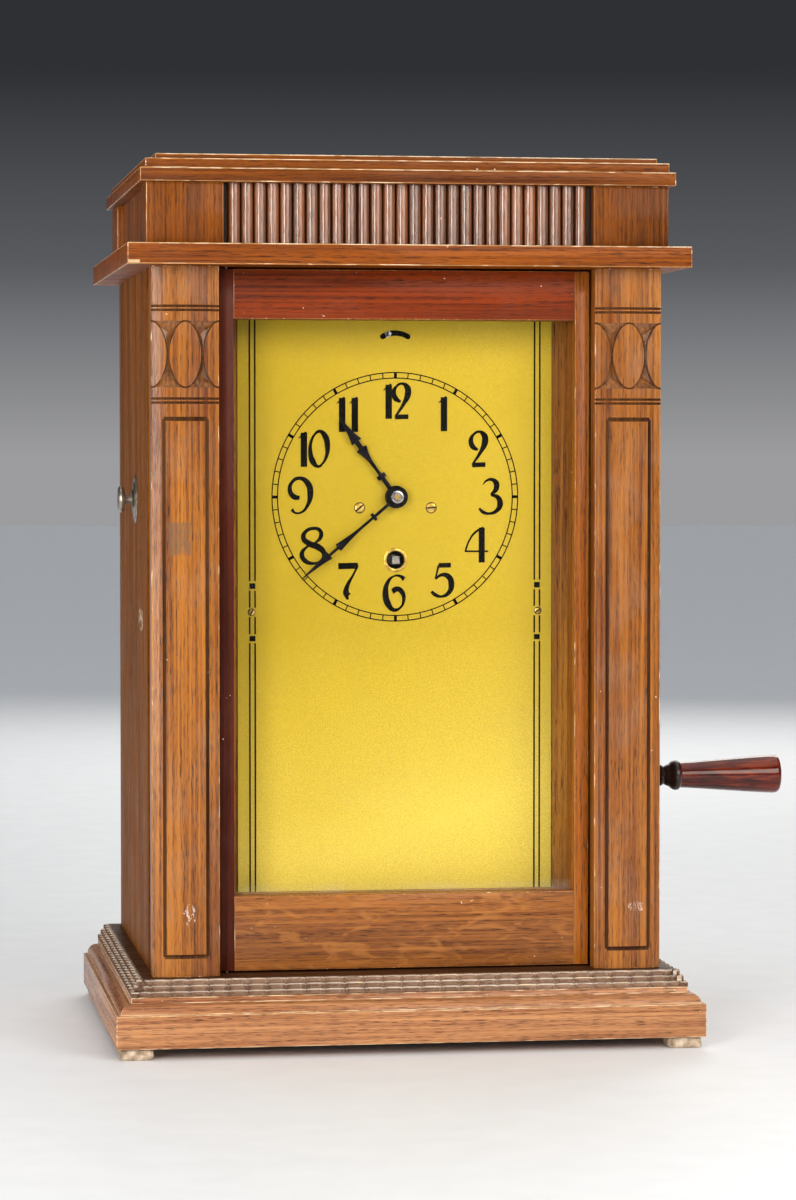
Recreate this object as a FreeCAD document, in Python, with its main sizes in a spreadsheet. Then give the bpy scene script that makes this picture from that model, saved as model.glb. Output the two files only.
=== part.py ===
import FreeCAD, Part
import math
import os
import re

import Sketcher
from FreeCAD import Placement, Rotation, Vector

# An oak table clock with a hand crank on its right side and a push button on its left.
# X points right, Y towards the back and Z up. The origin is on the table, under the middle
# of the case. Sizes are millimetres.

doc = FreeCAD.newDocument("table_clock")
dims = doc.addObject("Spreadsheet::Sheet", "dims")

# Driving dimensions, one cell each.
SIZES = {
    # Case
    "case_width": 245, "case_depth": 208,
    "foot_height": 5.5, "foot_side": 16.5, "foot_inset": 1.5, "foot_chamfer": 1.2,
    "base_height": 31, "base_overhang": 18.5, "base_back_overhang": 6, "base_board_thickness": 14,
    "moulding_lap": 6, "plinth_height": 15.8, "ledge_inset": 2, "ovolo_inset": 6.5, "ovolo_rise": 4.7,
    "riser_inset": 7.5, "riser_height": 2.8, "band_inset": 12,
    "post_width": 32.3, "post_depth": 34, "post_crown": 2.4, "post_height": 336,
    "panel_thickness": 12, "panel_recess": 0.8, "back_thickness": 8,
    "shelf_thickness": 10, "shelf_overhang": 12,
    "frieze_height": 29, "frieze_overhang": 2.5, "block_width": 36.5, "block_depth": 33,
    "frieze_recess": 3, "frieze_thickness": 6, "reed_radius": 3.05, "reed_pitch": 6.15, "reed_count": 28,
    "lip_thickness": 6.5, "lip_overhang": 5.5, "step_thickness": 4.5, "step_overhang": 2.8,
    "cap_thickness": 2.5, "cap_inset": 2.2,
    "back_screw_head": 3.2, "back_screw_shank": 1.6, "back_screw_length": 20, "back_screw_edge": 6,
    "back_screw_end": 25, "sound_slot_height": 4, "sound_slot_width": 70, "sound_slot_pitch": 10,
    # Door
    "door_setback": 12, "door_thickness": 18, "door_gap": 1, "stile_width": 6.8,
    "top_rail": 23.5, "bottom_rail": 35.7, "glass_rebate": 3, "glass_setback": 7, "glass_thickness": 2,
    "pivot_radius": 1.2, "pivot_length": 9, "bush_radius": 2.4, "bush_length": 5,
    # Dial
    "dial_setback": 44.5, "dial_width": 154.3, "dial_height": 296, "dial_bottom": 62,
    "dial_thickness": 1.2, "dial_centre": 263.1, "batten_lap": 11, "batten_thickness": 12,
    "dial_screw_edge": 6.75, "dial_screw_drop": 55.7, "dial_screw_head": 1.85, "dial_screw_length": 8,
    "movement_screw_x": 17.6, "movement_screw_drop": 5.3, "movement_screw_head": 2.7,
    "movement_screw_shank": 1.3, "screw_head_rise": 0.7, "screw_slot": 0.5,
    "dial_screw_shank": 0.9, "winding_drop": 30.7, "winding_hole": 5.3, "grommet_wall": 0.6,
    "grommet_radius": 5.9, "grommet_rise": 0.6,
    "regulator_rise": 67.9, "regulator_radius": 11.7, "regulator_slot": 2.7, "regulator_sweep": 32,
    "regulator_rest": -14, "dial_hole": 3.4,
    # Hands
    "hand_thickness": 0.8, "hub_radius": 5.5, "hand_gap": 2.2,
    "nut_radius": 3, "nut_thickness": 1.2, "nut_bevel": 0.3,
    "hour_angle": 324, "minute_angle": 229.6,
    "hour_length": 47.5, "hour_stem": 2.2, "hour_knob_at": 12.3, "hour_knob_width": 4.6,
    "hour_knob_length": 2.2, "hour_waist": 1.6, "hour_swell_at": 23, "hour_swell_width": 2.4,
    "hour_flare_at": 29, "hour_flare_width": 6, "hour_neck": 2.4, "hour_barb_at": 33,
    "hour_barb_width": 5.8, "hour_taper_at": 40, "hour_taper_width": 2.6,
    "minute_length": 61.4, "minute_stem": 1.5, "minute_knob_at": 14.9, "minute_knob_width": 4,
    "minute_knob_length": 1.6, "minute_waist": 1.3, "minute_swell_at": 31, "minute_swell_width": 2.4,
    "minute_flare_at": 37.7, "minute_flare_width": 4.2, "minute_neck": 1.4, "minute_barb_at": 43.3,
    "minute_barb_width": 4.3, "minute_taper_at": 57.6, "minute_taper_width": 1,
    "hand_tip": 0.5,
    # Clock movement. Layers are places behind the front plate, or before it in the motion work.
    "motion_space": 8.3, "plate_thickness": 2.5, "plate_gap": 28, "plate_width": 66,
    "plate_drop": 62, "plate_rise": 86, "pillar_radius": 3, "pillar_edge": 5,
    "running_gap": 0.05, "press_gap": 0.02, "seat_gap": 0.2, "over_cut": 1,
    "arbor_radius": 2, "pivot_hole": 1.2, "cannon_radius": 2, "hour_pipe": 3, "arbor_tip": 1.6,
    "winding_arbor_radius": 2.5, "winding_square": 3.6, "square_rise": 1.5, "square_foot": 2,
    "barrel_teeth": 78, "centre_leaves": 12, "barrel_radius": 24, "barrel_length": 16,
    "barrel_layer": 2, "barrel_gear": 3, "centre_pinion_layer": 1.5, "centre_pinion_length": 4,
    "centre_teeth": 60, "third_leaves": 12, "third_rise": 21, "centre_layer": 23, "wheel_thickness": 2,
    "third_pinion_layer": 22.5, "third_pinion_length": 3, "third_layer": 7.5,
    "third_teeth": 60, "escape_leaves": 10, "escape_rise": 38.5, "escape_layer": 6.5, "escape_length": 4,
    "cannon_leaves": 12, "minute_teeth": 36, "minute_leaves": 10, "hour_teeth": 40,
    "motion_distance": 12, "motion_direction": 60, "cannon_layer": 0.4, "cannon_length": 2.8,
    "minute_layer": 0.6, "minute_wheel_length": 2.4, "minute_pinion_length": 3.4, "hour_layer": 4.2,
    "stud_length": 6.8, "housing_layer": 12, "housing_foot": 4, "housing_lug": 6,
    "housing_width": 28, "housing_bottom": 33, "housing_height": 41, "housing_depth": 9, "housing_wall": 1.5,
    "balance_radius": 11, "balance_rim": 1.6, "balance_thickness": 1.5, "balance_gap": 2, "staff_radius": 0.9,
    "regulator_boss": 4, "regulator_boss_rise": 4, "regulator_layer": 3, "regulator_ring": 2,
    "regulator_arm": 2.4, "regulator_thickness": 1.2, "regulator_pin": 0.8, "regulator_pin_rise": 0.8,
    # Crank, on the right
    "crank_height": 165.7, "crank_throw": 45, "crank_shaft_radius": 5, "crank_reach": 9.5,
    "crank_thickness": 6, "crank_hub": 9, "crank_end": 7, "spindle_radius": 3, "spindle_length": 62,
    "bush_wall": 3, "bush_flange": 12, "flange_thickness": 2, "flange_bevel": 1,
    "grip_gap": 1, "grip_neck": 4.2, "grip_neck_length": 13, "grip_neck_flare": 2, "grip_collar": 7.6,
    "grip_collar_length": 3.6, "grip_start": 6.4, "grip_shoulder": 0.5, "grip_end": 9.65, "grip_length": 51.8,
    "grip_round": 2, "grip_end_gap": 1,
    # Sound works in the lower case
    "frame_thickness": 3, "frame_front": -25, "frame_gap": 16, "frame_top": 190,
    "frame_inner_x": 40, "frame_outer_x": 92, "bracket_x": -80, "bracket_half": 20, "frame_pillar": 4,
    "frame_pillar_edge": 7, "frame_pillar_rise": 20, "frame_play": 2,
    "crank_teeth": 36, "winding_teeth": 72, "motor_back": 36, "motor_drop": 42.5, "works_gear": 4,
    "motor_teeth": 80, "motor_gear": 3, "motor_radius": 26, "motor_length": 34, "motor_arbor": 4,
    "frame_pivot": 3,
    "roller_leaves": 16, "roller_lap": 0.5, "roller_drop": 13.4, "roller_radius": 12,
    "roller_left": -74, "roller_right": 37,
    "idler_height": 175, "belt_left": -60, "belt_right": 20, "belt_thickness": 0.4, "belt_gap": 0.3,
    "brake_radius": 10, "brake_thickness": 3.2,
    "horn_x": -20, "sound_box_radius": 16, "sound_box_front": 16, "sound_box_depth": 8, "needle_radius": 0.8,
    "horn_throat": 6, "horn_mouth": 36, "horn_gap": 8, "horn_wall": 1.5, "stand_width": 8, "stand_back": 4,
    # Push button, on the left
    "button_height": 261.5, "button_radius": 6.5, "button_thickness": 3.2, "button_reach": 5.7,
    "button_stem": 2.2, "button_collar": 4, "button_collar_length": 2, "button_bevel": 1, "button_play": 0.5,
    "rosette_radius": 12, "rosette_thickness": 1.2, "rosette_bevel": 1, "rosette_boss": 5,
    "rosette_boss_rise": 2.1, "rosette_tube": 3.6,
    "lever_reach": 10.7, "lever_pivot": 225, "lever_top": 268, "lever_bottom": 168, "lever_thickness": 3,
    "lever_half": 4, "lever_pin": 2, "lever_bracket": 3, "lever_play": 0.5, "lever_cheek": 6,
    "contact_gap": 0.3,
}

# Places and sizes that follow from the driving dimensions.
DERIVED = {
    "front": "-case_depth / 2",
    "back": "case_depth / 2",
    "side": "case_width / 2",
    "base_top": "foot_height + base_height",
    "shelf_under": "base_top + post_height",
    "shelf_top": "shelf_under + shelf_thickness",
    "lip_under": "shelf_top + frieze_height",
    "step_under": "lip_under + lip_thickness",
    "cap_under": "step_under + step_thickness",
    "base_half": "side + base_overhang",
    "base_front": "front - base_overhang",
    "base_back": "back + base_back_overhang",
    "strip_depth": "base_overhang + moulding_lap",
    "panel_face": "side - panel_recess",
    "panel_inside": "panel_face - panel_thickness",
    "back_face": "back - back_thickness",
    "post_inside": "side - post_width",
    "frieze_half": "side + frieze_overhang",
    "frieze_front": "front - frieze_overhang",
    "frieze_back": "back + frieze_overhang",
    "door_front": "front + door_setback",
    "door_back": "door_front + door_thickness",
    "door_half": "post_inside - door_gap",
    "opening_half": "door_half - stile_width",
    "door_low": "base_top + door_gap",
    "door_high": "shelf_under - door_gap",
    "opening_low": "door_low + bottom_rail",
    "opening_high": "door_high - top_rail",
    "glass_half": "opening_half + glass_rebate",
    "glass_low": "opening_low - glass_rebate",
    "glass_high": "opening_high + glass_rebate",
    "glass_front": "door_front + glass_setback",
    "glass_back": "glass_front + glass_thickness",
    "pivot_x": "-door_half + stile_width / 2",
    "pivot_y": "door_front + stile_width / 2",
    "dial_front": "front + dial_setback",
    "dial_back": "dial_front + dial_thickness",
    "dial_screw_x": "(dial_width / 2 - dial_screw_edge)",
    "plate_face": "dial_back + motion_space",
    "plate_back": "plate_face + plate_thickness",
    "rear_face": "plate_back + plate_gap",
    "rear_back": "rear_face + plate_thickness",
    "winding_z": "dial_centre - winding_drop",
    "regulator_z": "dial_centre + regulator_rise",
    "third_z": "dial_centre + third_rise",
    "escape_z": "dial_centre + escape_rise",
    "movement_screw_z": "dial_centre - movement_screw_drop",
    "hour_back": "dial_front - hand_gap",
    "hour_front": "hour_back - hand_thickness",
    "minute_back": "hour_front - hand_gap",
    "minute_front": "minute_back - hand_thickness",
    "nut_front": "minute_front - seat_gap - nut_thickness",
    "arm_face": "panel_face + crank_reach",
    "arm_outside": "arm_face + crank_thickness",
    "grip_z": "crank_height - crank_throw",
    "grip_neck_x": "arm_outside + grip_gap",
    "collar_x": "grip_neck_x + grip_neck_length",
    "grip_x": "collar_x + grip_collar_length",
    "grip_far": "grip_x + grip_length",
    "motor_z": "crank_height - motor_drop",
    "roller_z": "motor_z - roller_drop",
    "works_gear_x": "frame_outer_x - works_gear - frame_play",
    "motor_gear_x": "frame_inner_x + frame_thickness + frame_play",
    "motor_drum_x": "motor_gear_x + motor_gear",
    "belt_inner": "roller_radius + belt_gap",
    "belt_outer": "belt_inner + belt_thickness",
    "horn_z": "(roller_z + idler_height) / 2",
    "sound_box_back": "sound_box_front + sound_box_depth",
    "horn_length": "back_face - horn_gap - sound_box_back",
    "frame_back": "back_face - frame_gap",
    "lever_x": "-panel_inside + lever_reach",
    "lever_left": "lever_x - lever_thickness / 2",
    "lever_right": "lever_x + lever_thickness / 2",
    "button_inner": "-panel_face - button_reach",
}

for row, (alias, number) in enumerate(SIZES.items(), start=1):
    dims.set(f"A{row}", alias)
    dims.set(f"B{row}", str(number))
    dims.setAlias(f"B{row}", alias)
doc.recompute()

PRESSURE_ANGLE = math.radians(25)
ADDENDUM = 0.8
DEDENDUM = 1.05
BACKLASH = 0.12
NODES = []


def bound(text):
    """The sheet expression for a size written with the names above."""
    def swap(match):
        word = match.group()
        if word in SIZES:
            return "dims." + word
        if word in DERIVED:
            return "(" + bound(DERIVED[word]) + ")"
        return word
    return re.sub(r"[A-Za-z_][A-Za-z_0-9]*", swap, str(text))


def value(text):
    """The number that a size comes to."""
    return float(dims.evalExpression(bound(text)))


def size(item, **texts):
    for name, text in texts.items():
        item.setExpression(name, bound(text))


AXIS_TURN = {
    "X": Rotation(Vector(0, 1, 0), 90),
    "Y": Rotation(Vector(1, 0, 0), -90),
    "Z": Rotation(),
}


def put(item, x=0, y=0, z=0, turn=None):
    """Places a piece, with its place bound to the sheet."""
    if turn is not None:
        item.Placement = Placement(Vector(), turn)
    for axis, text in zip("xyz", (x, y, z)):
        item.setExpression("Placement.Base." + axis, bound(text))
    return item


def node(item, label):
    """Names a finished sub-part."""
    item.Label = label
    NODES.append(item)
    return item


def board(label, x, y, z):
    """A rectangular piece; x, y and z are its low and high faces."""
    box = doc.addObject("Part::Box", label)
    size(box, Length=f"({x[1]}) - ({x[0]})", Width=f"({y[1]}) - ({y[0]})", Height=f"({z[1]}) - ({z[0]})")
    return put(box, x[0], y[0], z[0])


def rod(label, axis, radius, span, at):
    """A round bar along an axis, from span[0] to span[1], at the other two coordinates."""
    bar = doc.addObject("Part::Cylinder", label)
    size(bar, Radius=radius, Height=f"({span[1]}) - ({span[0]})")
    place = list(at)
    place.insert("XYZ".index(axis), span[0])
    return put(bar, *place, turn=AXIS_TURN[axis])


def join(label, *items):
    """Pieces worked as one solid."""
    fuse = doc.addObject("Part::MultiFuse", label)
    fuse.Shapes = list(items)
    return fuse


def cut(label, base, *tools):
    """A piece with holes or recesses cut from it."""
    removed = doc.addObject("Part::Cut", label)
    removed.Base = base
    removed.Tool = tools[0] if len(tools) == 1 else join(label + "_tools", *tools)
    return removed


def group(label, *items):
    """Separate solids that share one node."""
    solids = doc.addObject("Part::Compound", label)
    solids.Links = list(items)
    return solids


def mirrored(label, item, normal, at=0):
    """A copy of a piece on the other side of a plane."""
    copy = doc.addObject("Part::Mirroring", label)
    copy.Source = item
    copy.Normal = normal
    for axis in "xyz":
        if getattr(normal, axis):
            copy.setExpression("Base." + axis, bound(at))
    return copy


def new_body(label):
    return doc.addObject("PartDesign::Body", label)


def arc_between(start, end, radius):
    """An arc of a signed radius: positive turns anticlockwise from start to end."""
    chord = end - start
    across = Vector(-chord.y, chord.x, 0).normalize()
    rise = math.sqrt(max(radius * radius - chord.Length ** 2 / 4, 0))
    centre = (start + end) / 2 + across * (rise if radius > 0 else -rise)
    first, last = (start, end) if radius > 0 else (end, start)
    angles = [math.atan2(point.y - centre.y, point.x - centre.x) for point in (first, last)]
    return Part.ArcOfCircle(Part.Circle(centre, Vector(0, 0, 1), abs(radius)), *angles)


def outline(body, plane, corners):
    """A closed sketch on an origin plane. A third entry makes the edge up to that corner an arc."""
    sketch = body.newObject("Sketcher::SketchObject", body.Label + "_outline")
    support = [item for item in body.Origin.OriginFeatures if item.Role == plane]
    sketch.AttachmentSupport = [(support[0], "")]
    sketch.MapMode = "FlatFace"
    points = [Vector(value(corner[0]), value(corner[1]), 0) for corner in corners]
    ends = []
    for index, corner in enumerate(corners):
        start, end = points[index - 1], points[index]
        if len(corner) == 3:
            sketch.addGeometry(arc_between(start, end, value(corner[2])), False)
            ends.append((1, 2) if value(corner[2]) > 0 else (2, 1))
        else:
            sketch.addGeometry(Part.LineSegment(start, end), False)
            ends.append((1, 2))
    for index, corner in enumerate(corners):
        following = (index + 1) % len(corners)
        last = ends[index][1]
        sketch.addConstraint(Sketcher.Constraint("Coincident", index, last, following, ends[following][0]))
        for kind, number, text in zip(("DistanceX", "DistanceY"), points[index], corner):
            rule = sketch.addConstraint(Sketcher.Constraint(kind, -1, 1, index, last, number))
            sketch.setExpression(f"Constraints[{rule}]", bound(text))
        if len(corner) == 3:
            rule = sketch.addConstraint(Sketcher.Constraint("Radius", index, abs(value(corner[2]))))
            sketch.setExpression(f"Constraints[{rule}]", f"abs({bound(corner[2])})")
    return sketch


def pad(body, plane, corners, length, middle=False, away=False):
    """A sketch padded from an origin plane, to both sides of it or along its reverse."""
    feature = body.newObject("PartDesign::Pad", body.Label + "_pad")
    feature.Profile = outline(body, plane, corners)
    feature.Midplane = middle
    feature.Reversed = away
    size(feature, Length=length)
    return feature


def pocket(body, plane, corners):
    """A sketch cut right through the body, on both sides of an origin plane."""
    feature = body.newObject("PartDesign::Pocket", body.Label + "_pocket")
    feature.Profile = outline(body, plane, corners)
    feature.Type = "ThroughAll"
    feature.Midplane = True
    return feature


def turned(label, axis, corners):
    """A lathe-turned piece. Corners are (place along the axis, radius)."""
    body = new_body(label)
    if axis == "X":
        profile = outline(body, "XZ_Plane", corners)
    else:
        profile = outline(body, "XY_Plane", [(corner[1], corner[0], *corner[2:]) for corner in corners])
    feature = body.newObject("PartDesign::Revolution", label + "_turning")
    feature.Profile = profile
    feature.ReferenceAxis = (profile, ["H_Axis" if axis == "X" else "V_Axis"])
    feature.Angle = 360
    return body


def made(label, shape, axis, x, y, z):
    """A piece whose teeth are worked out here; its own Z runs along the axis."""
    piece = doc.addObject("Part::Feature", label)
    piece.Shape = shape
    piece.Placement = Placement(Vector(value(x), value(y), value(z)), AXIS_TURN[axis])
    return piece


def disc(radius, start, end):
    return Part.makeCylinder(value(radius), value(end) - value(start), Vector(0, 0, value(start)))


def toothed(module, teeth, start, end, phase):
    """A spur gear with involute flanks. One tooth points along the phase, in degrees."""
    pitch = module * teeth / 2
    base = pitch * math.cos(PRESSURE_ANGLE)
    tip = pitch + ADDENDUM * module
    root = pitch - DEDENDUM * module
    flank_start = max(base, root)
    half_pitch_angle = (math.pi / 2 - BACKLASH / 2) / teeth

    def involute(angle):
        return math.tan(angle) - angle

    def flank_angle(radius):
        return half_pitch_angle + involute(PRESSURE_ANGLE) - involute(math.acos(min(base / radius, 1)))

    def at(radius, angle):
        return Vector(radius * math.cos(angle), radius * math.sin(angle), 0)

    middle = (flank_start + tip) / 2
    edges = []
    for tooth in range(teeth):
        centre = math.radians(phase) + 2 * math.pi * tooth / teeth
        next_centre = centre + 2 * math.pi / teeth
        low, high = flank_angle(flank_start), flank_angle(tip)
        if root < flank_start:
            edges.append(Part.LineSegment(at(root, centre - low), at(flank_start, centre - low)))
        edges.append(Part.Arc(at(flank_start, centre - low), at(middle, centre - flank_angle(middle)),
                              at(tip, centre - high)))
        edges.append(Part.Arc(at(tip, centre - high), at(tip, centre), at(tip, centre + high)))
        edges.append(Part.Arc(at(tip, centre + high), at(middle, centre + flank_angle(middle)),
                              at(flank_start, centre + low)))
        if root < flank_start:
            edges.append(Part.LineSegment(at(flank_start, centre + low), at(root, centre + low)))
        edges.append(Part.Arc(at(root, centre + low), at(root, (centre + next_centre) / 2),
                              at(root, next_centre - low)))
    face = Part.Face(Part.Wire([edge.toShape() for edge in edges]))
    solid = face.extrude(Vector(0, 0, value(end) - value(start)))
    return solid.translated(Vector(0, 0, value(start)))


def facing(axis, first, second):
    """The angle, in a piece's own plane, of a direction given by the two world axes across its axis."""
    if axis == "Y":
        return math.degrees(math.atan2(-second, first))
    return math.degrees(math.atan2(first, -second))


# Feet: four worn pads with chamfered lower edges.
foot = new_body("foot")
foot_pad = pad(foot, "XY_Plane", [
    ("-foot_side / 2", "-foot_side / 2"), ("foot_side / 2", "-foot_side / 2"),
    ("foot_side / 2", "foot_side / 2"), ("-foot_side / 2", "foot_side / 2")], "foot_height")
doc.recompute()
lowest = min(range(len(foot_pad.Shape.Faces)), key=lambda i: foot_pad.Shape.Faces[i].CenterOfMass.z)
foot_edge = foot.newObject("PartDesign::Chamfer", "foot_edge")
foot_edge.Base = (foot_pad, [f"Face{lowest + 1}"])
size(foot_edge, Size="foot_chamfer")
put(foot, "-base_half + foot_inset + foot_side / 2", "base_front + foot_inset + foot_side / 2")
foot_right = mirrored("foot_right", foot, Vector(1, 0, 0))
front_feet = group("front_feet", foot, foot_right)
back_feet = mirrored("back_feet", front_feet, Vector(0, 1, 0), "(base_front + base_back) / 2")
node(group("feet_group", front_feet, back_feet), "feet")

# Base: mitred mouldings on the front and sides, a plain rail behind, and a board inside them.
MOULDING = [
    ("0", "0"), ("0", "plinth_height"), ("ledge_inset", "plinth_height"),
    ("ovolo_inset", "plinth_height + ovolo_rise",
     "-((ovolo_inset - ledge_inset) ^ 2 + ovolo_rise ^ 2) / 2 / ovolo_rise"),
    ("riser_inset", "plinth_height + ovolo_rise"),
    ("riser_inset", "plinth_height + ovolo_rise + riser_height"),
    ("band_inset", "base_height"), ("strip_depth", "base_height"), ("strip_depth", "0"),
]
front_strip = new_body("front_strip")
pad(front_strip, "YZ_Plane", [(f"base_front + ({corner[0]})", *corner[1:]) for corner in MOULDING],
    "2 * base_half", middle=True)
for sign in ("-1", "1"):
    pocket(front_strip, "XY_Plane", [
        (f"{sign} * base_half", "base_front"),
        (f"{sign} * base_half", "base_front + strip_depth"),
        (f"{sign} * (base_half - strip_depth)", "base_front + strip_depth")])
put(front_strip, z="foot_height")
side_strip = new_body("side_strip")
pad(side_strip, "XZ_Plane", [(f"-base_half + ({corner[0]})", *corner[1:]) for corner in MOULDING],
    "base_back - base_front", away=True)
pocket(side_strip, "XY_Plane", [("-base_half", "0"), ("-base_half + strip_depth", "0"),
                                ("-base_half + strip_depth", "strip_depth")])
put(side_strip, y="base_front", z="foot_height")
side_strip_right = mirrored("side_strip_right", side_strip, Vector(1, 0, 0))
inner_half = "(base_half - strip_depth)"
back_rail = board("back_rail", (f"-{inner_half}", inner_half), ("base_back - strip_depth / 2", "base_back"),
                  ("foot_height", "base_top"))
node(group("moulding_group", front_strip, side_strip, side_strip_right, back_rail), "base_mouldings")
base_blank = board("base_blank", (f"-{inner_half}", inner_half),
                   ("base_front + strip_depth", "base_back - strip_depth / 2"),
                   ("base_top - base_board_thickness", "base_top"))
pivot_seat = "bush_radius + press_gap"
lower_seat = rod("lower_seat", "Z", pivot_seat, ("base_top - bush_length", "base_top + over_cut"),
                 ("pivot_x", "pivot_y"))
node(cut("base_board_cut", base_blank, lower_seat), "base_board")

# Front posts, with a shallow barrel face.
post = new_body("post")
pad(post, "XY_Plane", [
    ("-side", "front + post_depth"), ("-side", "front + post_crown"),
    ("-post_inside", "front + post_crown", "(post_width ^ 2 / 4 + post_crown ^ 2) / 2 / post_crown"),
    ("-post_inside", "front + post_depth")], "post_height")
put(post, z="base_top")
node(post, "post_left")
node(mirrored("post_mirror", post, Vector(1, 0, 0)), "post_right")

# Side panels, let in a little behind the posts, with a bore for the button and the crank bush.
bush_outer = "(crank_shaft_radius + running_gap + bush_wall)"
panel_span = ("front + post_depth", "back_face")
left_blank = board("left_blank", ("-panel_face", "-panel_inside"), panel_span, ("base_top", "shelf_under"))
right_blank = board("right_blank", ("panel_inside", "panel_face"), panel_span, ("base_top", "shelf_under"))
button_bore = rod("button_bore", "X", "rosette_tube + press_gap",
                  ("-panel_face - over_cut", "-panel_inside + over_cut"), ("0", "button_height"))
crank_bore = rod("crank_bore", "X", f"{bush_outer} + press_gap",
                 ("panel_inside - over_cut", "panel_face + over_cut"), ("0", "crank_height"))


def screw_places():
    """The back panel's screws: three down each side."""
    heights = ("base_top + back_screw_end", "(base_top + shelf_under) / 2", "shelf_under - back_screw_end")
    return [(f"{sign} * (panel_face - back_screw_edge)", height)
            for sign in ("-1", "1") for height in heights]


shank_holes = [rod("shank_hole", "Y", "back_screw_shank + press_gap",
                   ("back - back_screw_length", "back + over_cut"), place) for place in screw_places()]
node(cut("left_panel_cut", left_blank, button_bore, *shank_holes[:3]), "side_panel_left")
node(cut("right_panel_cut", right_blank, crank_bore, *shank_holes[3:]), "side_panel_right")

# Back panel, with slots that let the sound out, and its round-headed screws.
back_blank = board("back_blank", ("-panel_face", "panel_face"), ("back_face", "back"),
                   ("base_top", "shelf_under"))
slots = [board("sound_slot", ("horn_x - sound_slot_width / 2", "horn_x + sound_slot_width / 2"),
               ("back_face - over_cut", "back + over_cut"),
               (f"horn_z + {step} * sound_slot_pitch - sound_slot_height / 2",
                f"horn_z + {step} * sound_slot_pitch + sound_slot_height / 2"))
         for step in range(-3, 4)]
node(cut("back_cut", back_blank, *slots, *shank_holes), "back_panel")


def slotted_screw(label, head, shank, face, length, way, place):
    """A slotted screw along Y, with its head proud of a face; way is the head's direction."""
    head_end = f"{face} + {way} * screw_head_rise"
    shank_end = f"{face} - {way} * ({length})"
    if way > 0:
        head_span, shank_span = (face, head_end), (shank_end, face)
    else:
        head_span, shank_span = (head_end, face), (face, shank_end)
    blank = join(label + "_blank", rod(label + "_head", "Y", head, head_span, place),
                 rod(label + "_shank", "Y", shank, shank_span, place))
    slot = board(label + "_slot", (f"{place[0]} - {head} - over_cut", f"{place[0]} + {head} + over_cut"),
                 (f"{head_end} - screw_head_rise / 2", f"{head_end} + screw_head_rise / 2"),
                 (f"{place[1]} - screw_slot / 2", f"{place[1]} + screw_slot / 2"))
    return cut(label, blank, slot)


back_screws = [slotted_screw("back_screw", "back_screw_head", "back_screw_shank", "back",
                             "back_screw_length", 1, place)
               for place in screw_places()]
node(group("back_screw_group", *back_screws), "back_screws")

# Shelf above the posts, with the seat for the door's upper bush.
shelf_blank = board("shelf_blank", ("-side - shelf_overhang", "side + shelf_overhang"),
                    ("front - shelf_overhang", "back + shelf_overhang"), ("shelf_under", "shelf_top"))
upper_seat = rod("upper_seat", "Z", pivot_seat, ("shelf_under - over_cut", "shelf_under + bush_length"),
                 ("pivot_x", "pivot_y"))
node(cut("shelf_cut", shelf_blank, upper_seat), "shelf_board")

# Frieze: four corner blocks, a reeded front panel, and plain panels at the sides and back.
frieze_z = ("shelf_top", "lip_under")
blocks = []
for x in (("-frieze_half", "-frieze_half + block_width"), ("frieze_half - block_width", "frieze_half")):
    for y in (("frieze_front", "frieze_front + block_depth"), ("frieze_back - block_depth", "frieze_back")):
        blocks.append(board("corner_block", x, y, frieze_z))
node(group("block_group", *blocks), "frieze_corner_blocks")

reeding = new_body("reeding")
reed_face = "frieze_recess + reed_radius"
pad(reeding, "XY_Plane", [
    ("-frieze_half + block_width", reed_face), ("frieze_half - block_width", reed_face),
    ("frieze_half - block_width", f"{reed_face} + frieze_thickness"),
    ("-frieze_half + block_width", f"{reed_face} + frieze_thickness")], "frieze_height")
first_reed = "-(reed_count - 1) / 2 * reed_pitch"
reed = pad(reeding, "XY_Plane", [
    (f"{first_reed} + reed_radius", f"{reed_face} + over_cut"),
    (f"{first_reed} - reed_radius", f"{reed_face} + over_cut"),
    (f"{first_reed} - reed_radius", reed_face),
    (f"{first_reed} + reed_radius", reed_face, "reed_radius * 1.0001")], "frieze_height")
row = reeding.newObject("PartDesign::LinearPattern", "reed_row")
row.Originals = [reed]
row.Direction = (reed.Profile[0], ["H_Axis"])
size(row, Length="(reed_count - 1) * reed_pitch", Occurrences="reed_count")
reeding.Tip = row
put(reeding, y="frieze_front", z="shelf_top")
node(reeding, "frieze_reeding")

side_y = ("frieze_front + block_depth", "frieze_back - block_depth")
side_x = ("-frieze_half + frieze_recess", "-frieze_half + frieze_recess + frieze_thickness")
frieze_left = board("frieze_left", side_x, side_y, frieze_z)
frieze_right = mirrored("frieze_right", frieze_left, Vector(1, 0, 0))
rear_x = ("-frieze_half + block_width", "frieze_half - block_width")
rear_y = ("frieze_back - frieze_recess - frieze_thickness", "frieze_back - frieze_recess")
frieze_rear = board("frieze_rear", rear_x, rear_y, frieze_z)
node(group("plain_panel_group", frieze_left, frieze_right, frieze_rear), "frieze_plain_panels")


def top_board(label, overhang, low, high):
    """One of the stepped boards that close the top."""
    sides = (f"-side - ({overhang})", f"side + ({overhang})")
    return node(board(label, sides, (f"front - ({overhang})", f"back + ({overhang})"), (low, high)), label)


top_board("cornice_lip", "lip_overhang", "lip_under", "step_under")
top_board("top_step", "step_overhang", "step_under", "cap_under")
top_board("top_cap", "-cap_inset", "cap_under", "cap_under + cap_thickness")

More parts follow.
